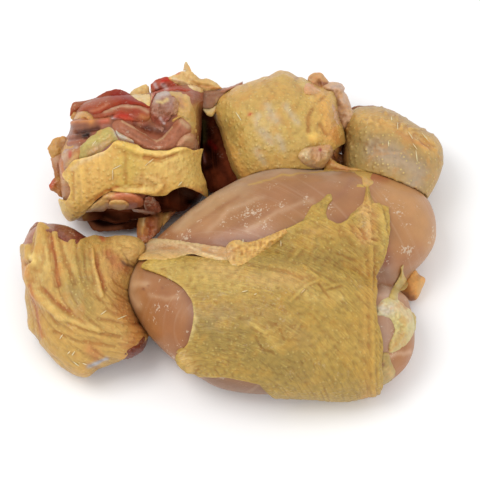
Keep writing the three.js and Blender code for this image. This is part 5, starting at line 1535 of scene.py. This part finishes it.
shreds("muscle_rim", "back_red_band", "muscle", "red_muscle", (164, 88, 60), [
    ([[-98, 85], [-93, 85], [-79, 90], [-73, 91], [-65, 90], [-59, 87], [-57, 83]],
     [[-98, 81], [-92, 80], [-87, 81], [-79, 83], [-63, 78], [-58, 80]], 3.2,
     [([[-88, 86], [-81, 89], [-66, 88]], 1.4, 1.2), ([[-86, 85], [-79, 87], [-71, 85]], 1.6, -0.8)]),
    ([[-86, 81], [-80, 85], [-77, 85], [-67, 80]],
     [[-86, 79], [-79, 80], [-75, 79], [-66, 78]], 2.8)], on_back, seed=72,
    columns=110, rows=34, lumps=0.4, wet=0.7, soft=1.1,
    # The lilac film dab and the thin peach line along the fold's top are painted highlights.
    dabs=[(LILAC_FILM_SHEEN, [[-86, 80], [-82, 81], [-79, 80]], 1.3, 0.85),
          (PEACH, [[-89, 85], [-78, 89], [-66, 88], [-61, 85]], 1.3, 0.8),
          (DULL_RED, [[-70, 85], [-64, 83]], 2.6, 0.6), ((196, 40, 30), [[-79, 83], [-75, 82]], 2.2, 0.9),
          (BRICK, [[-82, 82], [-72, 80]], 1.6, 0.7), (CARAMEL, [[-65, 82], [-59, 80]], 2, 0.7)])
shreds("hip_muscle", "back_hip_ridge", "muscle", "red_muscle", (180, 84, 56), [
    ([[-59, 103], [-55, 106], [-48, 108], [-40, 103], [-35, 101], [-30, 100]],
     [[-59, 88], [-57, 94], [-55, 97], [-46, 99], [-36, 98], [-30, 99]], 3.6,
     [([[-58, 102], [-57, 93]], 1.6, 1), ([[-53, 105], [-46, 106]], 1.8, 1),
      ([[-55, 103], [-55, 98]], 1, -0.8)])],
    on_back, seed=74, columns=90, rows=40, lumps=0.35, wet=0.7, soft=1.0,
    # The two lilac film dabs on the ridge are painted highlights.
    dabs=[(LILAC_FILM_SHEEN, [[-56, 103], [-55, 101]], 1.3, 0.8), (LILAC_FILM_SHEEN, [[-51, 103], [-49, 101]], 1.6, 0.8),
          ((196, 46, 28), [[-51, 106], [-46, 107]], 1.8, 0.8), (DULL_RED, [[-45, 102], [-38, 100]], 2, 0.7),
          (PALE_LINE, [[-59, 99], [-59, 93]], 1, 0.6)])
print("red muscle; triangles so far:", sum(made.values()))

# %% [markdown]
# ## Fat and gristle on the back
# Between the muscles lie a wedge of fat, a flap of fat that stands up behind, the white and lilac end
# of the hip, and a broad yellow band that runs down the back's right side.

# %% Fat and gristle on the back
shreds("rib_fat", "back_fat_wedge", "fat", "fat", (232, 194, 124), [
    ([[-73, 97], [-71, 99], [-62, 103], [-60, 102]], [[-70, 93], [-60, 88], [-59, 93]],
     3.2, [([[-71, 96], [-66, 95], [-61, 91]], 1.3, 1), ([[-67, 99], [-63, 97]], 1.2, 0.9)])], on_back,
     seed=73, lumps=0.4, dabs=[(FAT_PALE, [[-70, 96], [-63, 92]], 1.6, 0.7)])
shreds("hip_joint", "back_hip_knob", "meat", "dark_meat", (176, 124, 98), [
    ([[-59, 85], [-57, 95], [-53, 98], [-48, 99], [-41, 93], [-40, 89], [-42, 83]],
     [[-60, 80], [-54, 74], [-51, 72], [-49, 75], [-46, 81], [-45, 82], [-43, 82]], 4.4,
     [([[-57, 89], [-51, 86], [-46, 88]], 1.4, -0.9), ([[-48, 94], [-46, 85]], 1.6, -0.9),
      ([[-54, 85], [-53, 77]], 1.6, 0.9)])],
    on_back, seed=75, columns=110, rows=60, lumps=0.95, wet=0.7, ragged=1.4, soft=1.2,
    dabs=[((206, 188, 176), [[-55, 94], [-53, 96], [-48, 97]], 2, 0.8),
          ((170, 128, 116), [[-53, 92], [-46, 90]], 3.2, 0.7), (FAWN, [[-42, 93], [-42, 85]], 2, 0.8),
          ((158, 74, 54), [[-58, 81], [-54, 78], [-49, 80]], 3, 0.8),
          # The thin lilac film dab is a painted highlight.
          (UMBER, [[-51, 86], [-47, 84]], 2, 0.6), (LILAC_FILM_SHEEN, [[-53, 81], [-50, 77]], 0.9, 0.7),
          (STRAW, [[-55, 92], [-51, 91], [-48, 93]], 1.2, 0.8)])
shreds("fat_flap", "back_fat_flap", "fat", "fat", (230, 190, 122), [
    ([[-49, 107], [-37, 112], [-33, 112], [-26, 107], [-22, 107], [-17, 105], [-12, 101]],
     [[-48, 105], [-30, 98], [-12, 100]], 3,
     [([[-45, 107], [-37, 105], [-30, 101]], 1.2, 1.1), ([[-37, 110], [-29, 103], [-20, 102]], 1.4, -1),
      ([[-28, 105], [-18, 103]], 2, 0.8)]),
    ([[-36, 118], [-38, 112]], [[-35, 118], [-32, 112]], 0.7)], on_back, seed=76,
    columns=120, rows=34, sink=1.6,
    dabs=[(AMBER, [[-27, 102], [-13, 100]], 1.1, 0.85), ((240, 212, 168), [[-44, 107], [-32, 101]], 1.4, 0.8),
          (HONEY, [[-29, 106], [-24, 104]], 3, 0.6), ((208, 110, 84), [[-42, 110], [-40, 111]], 0.8, 0.8),
          (FAT_PALE, [[-36, 117], [-36, 113]], 2, 0.7)])
shreds("side_fat", "back_fat_band", "fat", "fat", (212, 170, 98), [
    ([[-48, 99], [-42, 99], [-32, 98], [-31, 94], [-27, 84], [-27, 62]],
     [[-46, 95], [-43, 94], [-41, 90], [-42, 85], [-42, 82], [-33, 76], [-28, 66], [-28, 62]], 2.4,
     [([[-34, 94], [-33, 89]], 2.4, 0.9), ([[-32, 86], [-28, 77]], 1.6, 0.8)]),
    ([[-46, 79], [-40, 83], [-37, 84], [-33, 82]], [[-44, 78], [-41, 80], [-38, 81], [-32, 76]],
     1.8)], on_back, seed=77, columns=110, rows=34, lumps=0.4, wet=0.6, soft=1.0,
    dabs=[(HONEY, [[-32, 87], [-28, 82]], 3, 0.6), (CLAY, [[-39, 93], [-38, 89]], 2.4, 0.8),
          (BUTTER, [[-36, 97], [-32, 90]], 3, 0.6)])
shreds("strip_fat", "back_strip_fat", "fat", "fat", (222, 184, 112), [
    ([[-26, 88], [-22, 88], [-18, 89], [-15, 91]], [[-24, 85], [-21, 82], [-18, 82], [-15, 88]], 2.4)],
    at_heights(55, 52), seed=79, sink=3, dabs=[(FAT_PALE, [[-24, 86], [-17, 87]], 1.6, 0.6)])
print("fat and gristle; triangles so far:", sum(made.values()))

# %% [markdown]
# ## The ribs' edge
# In front of the red muscle the ribs were cut across. Their meat makes one wavy ledge with a pale upper
# line. Thin film and olive fat lead from it down to the skin.

# %% The ribs' edge
shreds("rib_edge", "back_ledge", "meat", "dark_meat", (178, 112, 80), [
    ([[-86, 79], [-82, 80], [-78, 80], [-59, 68], [-55, 67], [-51, 69], [-39, 82], [-35, 80], [-32, 76]],
     [[-85, 74], [-77, 68], [-58, 58], [-43, 60], [-36, 68], [-32, 72]], 3.2,
     [([[-78, 79], [-63, 70], [-55, 66], [-51, 68], [-45, 74]], 0.9, 1.2),
      ([[-81, 76], [-62, 65], [-54, 63], [-46, 67]], 1.5, -0.8), ([[-42, 74], [-38, 79]], 1.6, 0.9)])],
    on_back, seed=80, columns=170, rows=36, wet=0.6, soft=1.2,
    dabs=[(PALE_LINE, [[-78, 79], [-55, 66], [-51, 68], [-45, 75]], 0.6, 0.6),
          (UMBER, [[-74, 72], [-65, 67], [-57, 64]], 1.2, 0.6),
          (PALE_LINE, [[-39, 79], [-34, 75]], 1.6, 0.6)])
shreds("rib_joint", "back_joint_end", "meat", "dark_meat", (200, 144, 108), [
    ([[-43, 63], [-41, 67], [-38, 70], [-34, 71], [-30, 70], [-28, 67], [-27, 62]],
     [[-42, 61], [-39, 60], [-30, 60], [-28, 59]], 3.2, [([[-40, 64], [-34, 68], [-30, 67]], 1.4, 0.8)])],
    on_back, seed=81, lumps=0.35, wet=0.8, soft=1.0, dabs=[(PALE_LINE, [[-36, 68], [-32, 67]], 1.8, 0.6)])
shreds("thin_membrane", "back_membrane", "fat", "fat", (192, 168, 94), [
    ([[-115, 51], [-102, 66], [-86, 77]],
     [[-114, 49], [-108, 52], [-103, 54], [-92, 58], [-83, 65], [-79, 66]], 1.6,
     [([[-103, 64], [-94, 68], [-87, 72]], 1.6, 0.9), ([[-106, 57], [-87, 66]], 1.2, -0.5)]),
    ([[-84, 76], [-80, 72], [-68, 67], [-57, 59]],
     [[-81, 70], [-79, 67], [-74, 65], [-69, 64], [-58, 58]], 1.4),
    ([[-112, 81], [-110, 85], [-106, 85], [-101, 85], [-97, 82]],
     [[-110, 79], [-102, 81], [-99, 78], [-96, 78]], 1.8)],
    on_back, seed=82, columns=110, rows=34, lumps=0.4, wet=0.8,
    dabs=[(OCHRE, [[-111, 83], [-104, 83], [-97, 80]], 5, 0.95),
          ((204, 186, 106), [[-102, 64], [-92, 67], [-87, 73]], 3, 0.7),
          (FAWN, [[-98, 58], [-90, 62]], 3, 0.7),
          ((208, 196, 184), [[-83, 74], [-81, 70], [-75, 67], [-61, 60]], 1.8, 0.9)])
print("ribs' edge; triangles so far:", sum(made.values()))

# %% [markdown]
# ## Loose flaps round the back
# At the left end hang two loose flaps, thin and frayed. At the right a strip of muscle reaches over to
# the thigh.

# %% Loose flaps round the back
shreds("side_flap", "back_side_flap", "fat", "fat", (208, 158, 88), [
    ([[-127, 60], [-125, 64], [-123, 67], [-120, 68], [-116, 69], [-108, 65]],
     [[-124, 54], [-121, 55], [-115, 59], [-108, 62]], 1.5, [([[-121, 66], [-120, 58]], 2, 0.5)])],
    on_back, seed=83, lumps=0.5, ragged=0.9, sink=1.4,
    dabs=[(HONEY, [[-124, 57], [-121, 55]], 2.6, 0.7), (BRONZE, [[-117, 64], [-114, 65]], 3, 0.6)])
shreds("side_meat", "back_side_meat", "meat", "dark_meat", (188, 128, 72), [
    ([[-126, 37], [-124, 40], [-121, 42], [-117, 42], [-110, 39]],
     [[-125, 33], [-121, 31], [-119, 29], [-109, 29]], 2.4, [([[-121, 36], [-117, 33]], 1.4, -0.8)]),
    ([[-125, 54], [-116, 59], [-106, 62], [-104, 64]],
     [[-122, 41], [-116, 42], [-112, 45], [-106, 53]], 2,
     [([[-119, 54], [-111, 58]], 1.6, 0.8), ([[-119, 49], [-112, 50]], 1.8, -0.6)])], on_back, seed=84,
     lumps=0.5, ragged=0.7, columns=80, rows=34, wet=0.7,
    dabs=[(BRICK, [[-125, 36], [-123, 39]], 2, 0.8), (HONEY, [[-119, 41], [-112, 39]], 2, 0.8),
          (PEACH, [[-122, 53], [-114, 55]], 3.6, 0.9), (BRICK, [[-112, 58], [-112, 55]], 1.3, 0.9),
          (CLAY, [[-119, 49], [-112, 47]], 4, 0.8), (BUTTER, [[-114, 50], [-108, 56]], 1.4, 0.7)])
shreds("meat_strip", "back_meat_strip", "meat", "dark_meat", (170, 128, 98), [
    ([[-32, 95], [-30, 98], [-24, 100], [-9, 101], [2, 105]],
     [[-30, 91], [-27, 88], [-22, 87], [-18, 88], [-9, 97], [2, 102]], 4,
     [([[-22, 98], [-12, 99], [-1, 102]], 1, 0.9), ([[-20, 96], [-11, 97]], 0.8, -0.8)])], at_heights(58, 50),
     seed=78, columns=100, rows=40, lumps=0.2, wet=0.6, sink=6.0,
    dabs=[(UMBER, [[-28, 95], [-22, 92]], 4, 0.6), ((190, 112, 78), [[-12, 99], [1, 103]], 1.2, 0.7),
          (PALE_LINE, [[-15, 94], [-16, 89]], 0.9, 0.7)])
print("loose flaps; triangles so far:", sum(made.values()))

# %% [markdown]
# ## The back's hollow
# Under the skin's lower edge lies a soft lobe of an organ with fat on it. Behind and below it the back
# is open, and its walls lie in shade: their dark meat is painted almost black there, as painted shade.
# A short end of neck hangs out at the right.

# %% The back's hollow
SETTLE = 0.9                # how far the hollow's side may sink into its neighbours
shreds("organ_lobe", "back_organ", "organ", "organ", (214, 138, 90), [
    ([[-103, 21], [-95, 26], [-88, 32], [-83, 33], [-78, 34], [-73, 34], [-68, 32], [-65, 29], [-63, 26]],
     [[-102, 19], [-98, 19], [-90, 19], [-88, 21], [-79, 20], [-66, 22], [-63, 24]], 5.5,
     [([[-100, 21], [-90, 27]], 2, -0.8), ([[-86, 29], [-74, 31], [-67, 29]], 3, 1.4),
      ([[-87, 27], [-84, 25], [-87, 21]], 1.2, -1.6), ([[-92, 23], [-91, 19]], 1.4, 0.7)])], on_back, seed=85,
    columns=130, rows=44, lumps=0.18, wet=0.7,
    dabs=[(BUTTER, [[-101, 21], [-90, 24]], 4, 0.95), (BUTTER, [[-92, 27], [-84, 31]], 2.4, 0.8),
          ((218, 130, 96), [[-81, 30], [-70, 29], [-65, 27]], 3, 0.6),
          (RUST, [[-73, 23], [-65, 24]], 2.2, 0.8),
          ((240, 200, 170), [[-75, 32], [-73, 32]], 0.9, 0.8), (CREAM, [[-97, 21], [-94, 23]], 1.3, 0.6)])
shreds("organ_fat", "back_organ_fat", "organ", "fat", (228, 176, 106), [
    ([[-87, 23], [-86, 26], [-82, 27], [-78, 27], [-75, 26], [-73, 24]],
     [[-86, 22], [-80, 20], [-76, 21], [-73, 23]], 2.4)], draped(back, 4.6), seed=86, lumps=0.2,
    dabs=[(BUTTER, [[-83, 25], [-78, 25]], 2.4, 0.7)])
shreds("hollow_flap", "back_inner_flap", "meat", "dark_meat", (170, 104, 76), [
    ([[-63, 28], [-61, 29], [-58, 29], [-53, 24], [-52, 20]],
     [[-64, 24], [-63, 21], [-61, 19], [-57, 17], [-54, 18], [-52, 19]], 3,
     [([[-61, 28], [-59, 24], [-55, 20]], 1.2, -0.9), ([[-57, 27], [-55, 22]], 1.2, 0.9)]),
    ([[-72, 21], [-61, 20], [-55, 19]], [[-70, 19], [-59, 17], [-55, 17]], 1.2)],
    on_back, seed=87, columns=80, rows=34, lumps=0.4, wet=0.9,
    dabs=[(CHESTNUT, [[-61, 25], [-61, 21]], 2, 0.8),
          (SHELL, [[-70, 20], [-57, 18]], 0.9, 0.9), (SHELL, [[-63, 24], [-62, 21]], 0.7, 0.6)])
# The floor of the hollow lies in shade: its dark base and the near-black dab inside are painted shade.
shreds("hollow_floor", "back_lower_wall", "wall", "hollow_wall", (74, 40, 26), [
    ([[-103, 16], [-100, 11], [-98, 8], [-94, 6], [-88, 6], [-71, 8], [-67, 10], [-64, 14]],
     [[-103, 19], [-98, 20], [-87, 21], [-71, 20], [-62, 19], [-59, 17]], 3,
     [([[-98, 12], [-92, 9], [-74, 10]], 1.6, 1.4), ([[-94, 14], [-86, 13], [-79, 14]], 2, -1.6)])],
    at_heights(9, 8), seed=88, columns=110, rows=50, sink=6.0, wet=0.5, soft=0.5,
    dabs=[(UMBER, [[-100, 14], [-96, 8], [-90, 7], [-79, 8]], 2, 0.9),
          (COCOA, [[-74, 10], [-65, 14]], 4, 0.9), ((40, 10, 8), [[-96, 14], [-90, 11], [-79, 12]], 1.6, 0.9),
          ((96, 84, 76), [[-90, 15], [-84, 14]], 2, 0.7),
          ((190, 170, 120), [[-75, 17], [-72, 16]], 1.8, 0.8)])
inner = Lump(seen(-15, 59, 16), [((0, 0, 0), (17, 37, 16), 12)])
points, quads = flesh(inner, 44, [(back, OVER_SKIN - SETTLE), (thigh, OVER_SKIN - SETTLE), (breast, TOUCH)],
                      depth=2.2, size=8.0, seed=89)
# This side lies in shade: its dark and near-black tones are painted shade over dark meat, and the thin pale
# lilac line is a painted highlight.
piece("hollow_side", points, quads, finish["wall"], paint(points, (84, 40, 26), [
    ((40, 14, 10), [[-24, 83], [-22, 66], [-20, 60]], 4, 0.8), (CHESTNUT, [[-24, 56], [-22, 33]], 2, 0.8),
    (BARK, [[-18, 45], [-13, 40], [-17, 35]], 4, 0.9),
    ((30, 8, 6), [[-18, 60], [-16, 50], [-22, 48]], 3, 0.9),
    (BARK, [[-18, 77], [-12, 62], [-4, 40]], 2.4, 0.9), ((110, 22, 18), [[-20, 65], [-16, 61]], 1.8, 0.9),
    ((84, 76, 44), [[-24, 78], [-24, 66]], 2, 0.8), (RUST, [[-8, 58], [1, 41]], 2, 0.9),
    ((150, 110, 110), [[-25, 60], [-23, 52]], 0.8, 0.7)], 89, 0.8),
    swirl(points, [106, 66]), 0.5, "back_inner_wall")
neck = [ribbon(at_heights(17, 18), first, second, 3.6, folds, sink=9, columns=60, rows=40, soft=0.6,
               seed=90)
        for first, second, folds in (
            ([[-67, 16], [-68, 3], [-64, -3]], [[-51, 19], [-51, 12], [-53, 6], [-59, 0]],
             [([[-64, 15], [-65, 4]], 1.6, 1.4), ([[-59, 16], [-60, 2]], 1.6, -0.8),
              ([[-55, 15], [-55, 7]], 1.4, 1.2)]),
            ([[-52, 18], [-51, 8]], [[-41, 20], [-50, 10]], []))]
points, faces = joined(*neck)
piece("neck_piece", points, faces, finish["meat"], paint(points, (196, 122, 70), [
    (HONEY, [[-65, 14], [-65, 6]], 2, 0.8), (RUST, [[-59, 16], [-59, 2]], 1.4, 0.8),
    # The thin cream dab on the left is a painted highlight.
    (UMBER, [[-55, 15], [-55, 7]], 2.4, 0.8), (CREAM, [[-63, 14], [-64, 10]], 0.8, 0.7),
    (HONEY, [[-49, 16], [-50, 11]], 3.4, 0.9), (UMBER, [[-45, 18], [-42, 19]], 2.4, 0.7)], 90, 0.8),
      None, 0.6, "neck_strand")
print("pieces:", len(made), "triangles:", sum(made.values()))

# %% [markdown]
# ## Left-over quills
# Plucking leaves the ends of a few quills in the skin. They are pale, hard and a few millimetres long,
# and lie almost flat. Each is a thin drawn-out ball from one place of the skin to another, set on the
# skin's own surface, so it rests there from any side. All those of one sheet are one piece.

# %% Quills
QUILL = (226, 210, 168)
QUILL_WIDTHS = (0.18, 0.36, 0.18)       # half its thickness at its ends and its middle
QUILL_GAP, QUILL_LIFT = 0.25, 0.8       # over the skin, and more at its free end


def quills(name, lump, pairs):
    """Thin strands, each from one place of a skin to another, lifted a little at its free end."""
    parts = []
    for start, end in pairs:
        line = onto(lump, [start, end], CLEAR + SKIN + QUILL_GAP)
        line[1] += TOWARDS * QUILL_LIFT
        parts.append(drawn_out([line[0], line.mean(0), line[1]], QUILL_WIDTHS, 12, 8))
    points, faces = joined(*parts)
    return piece(name, points, faces, finish["fat"], paint(points, QUILL), None, 0.3)


quills("breast_quills", breast, [
    ([2, 1], [2, -6]), ([1, -34], [5, -33]), ([9, -36], [11, -35]), ([40, -35], [43, -32]),
    ([27, 0], [27, -4])])
quills("leg_quills", leg, [
    ([-92, -49], [-88, -46]), ([-81, -52], [-74, -49]), ([-119, -65], [-117, -62]),
    ([-111, -76], [-109, -73]),
    ([-114, -75], [-112, -73]), ([-110, -80], [-106, -83]), ([-104, -81], [-101, -82])])
quills("back_quills", smooth_back, [
    ([-84, 40], [-84, 47]), ([-84, 47], [-78, 50]), ([-63, 49], [-57, 54]), ([-41, 36], [-38, 39]),
    ([-98, 62], [-95, 66])])
quills("thigh_quills", thigh, [([-3, 85], [1, 79]), ([32, 85], [34, 87]), ([15, 106], [17, 107])])
quills("drumstick_quills", drum, [
    ([83, 74], [85, 80]), ([98, 66], [98, 62]), ([111, 72], [114, 67]), ([120, 71], [125, 65]),
    ([116, 60], [117, 52]), ([104, 78], [104, 73]), ([100, 82], [100, 79]), ([114, 64], [117, 60])])
print("quills on five skins")

# %% [markdown]
# ## Floor, light and camera
# The heap rests on a plain pale floor, as under soft studio light. A large lamp high on the left gives
# shape, a second one on the right keeps the shadows open, and the pale world fills in. The camera
# looks down along the same line of sight that the view's places were written for.

# %% The stage
FLOOR_SIZE = 6.0
bpy.ops.mesh.primitive_plane_add(size=FLOOR_SIZE, location=(0, 0, 0))
floor = bpy.context.object
floor.name = "floor"
paper = bpy.data.materials.new("pale_paper")
paper.use_nodes = True
paper.node_tree.nodes["Principled BSDF"].inputs["Base Color"].default_value = (0.92, 0.92, 0.92, 1)
paper.node_tree.nodes["Principled BSDF"].inputs["Roughness"].default_value = 0.9
floor.data.materials.append(paper)

world = bpy.data.worlds.new("pale_studio")
world.use_nodes = True
world.node_tree.nodes["Background"].inputs["Color"].default_value = (1, 1, 1, 1)
world.node_tree.nodes["Background"].inputs["Strength"].default_value = 0.95
bpy.context.scene.world = world


def lamp(name, place, target, size, power):
    """A square area lamp in metres at a place, turned so that it shines on a target."""
    light = bpy.data.lights.new(name, "AREA")
    light.size, light.energy = size, power
    thing = bpy.data.objects.new(name, light)
    thing.location = place
    direction = Vector(target) - Vector(place)
    thing.rotation_mode = "QUATERNION"
    thing.rotation_quaternion = direction.to_track_quat("-Z", "Y")
    bpy.context.scene.collection.objects.link(thing)


lamp("key", (-0.5, -0.1, 1.1), (0, 0, 0.03), 0.6, 5.5)
lamp("fill", (0.8, -0.7, 0.9), (0, 0, 0.03), 0.8, 2.0)
print("lamps and a floor of", FLOOR_SIZE, "metres")

# %% The camera
SENSOR = 36.0               # millimetres, across the picture
PICTURE_WIDTH = 480 * 0.66  # millimetres that the picture's width covers at the middle of the view
camera_data = bpy.data.cameras.new("camera")
camera_data.sensor_fit = "HORIZONTAL"
camera_data.sensor_width = SENSOR
camera_data.lens = SENSOR * VIEW_DISTANCE / PICTURE_WIDTH
camera = bpy.data.objects.new("camera", camera_data)
camera.location = (TOWARDS * VIEW_DISTANCE + VIEW_MIDDLE) * MM
camera.rotation_mode = "QUATERNION"
camera.rotation_quaternion = Vector(TOWARDS).to_track_quat("Z", "Y")
bpy.context.scene.collection.objects.link(camera)
bpy.context.scene.camera = camera
bpy.context.scene.view_settings.view_transform = "Standard"
print("lens", round(camera_data.lens, 1), "mm")
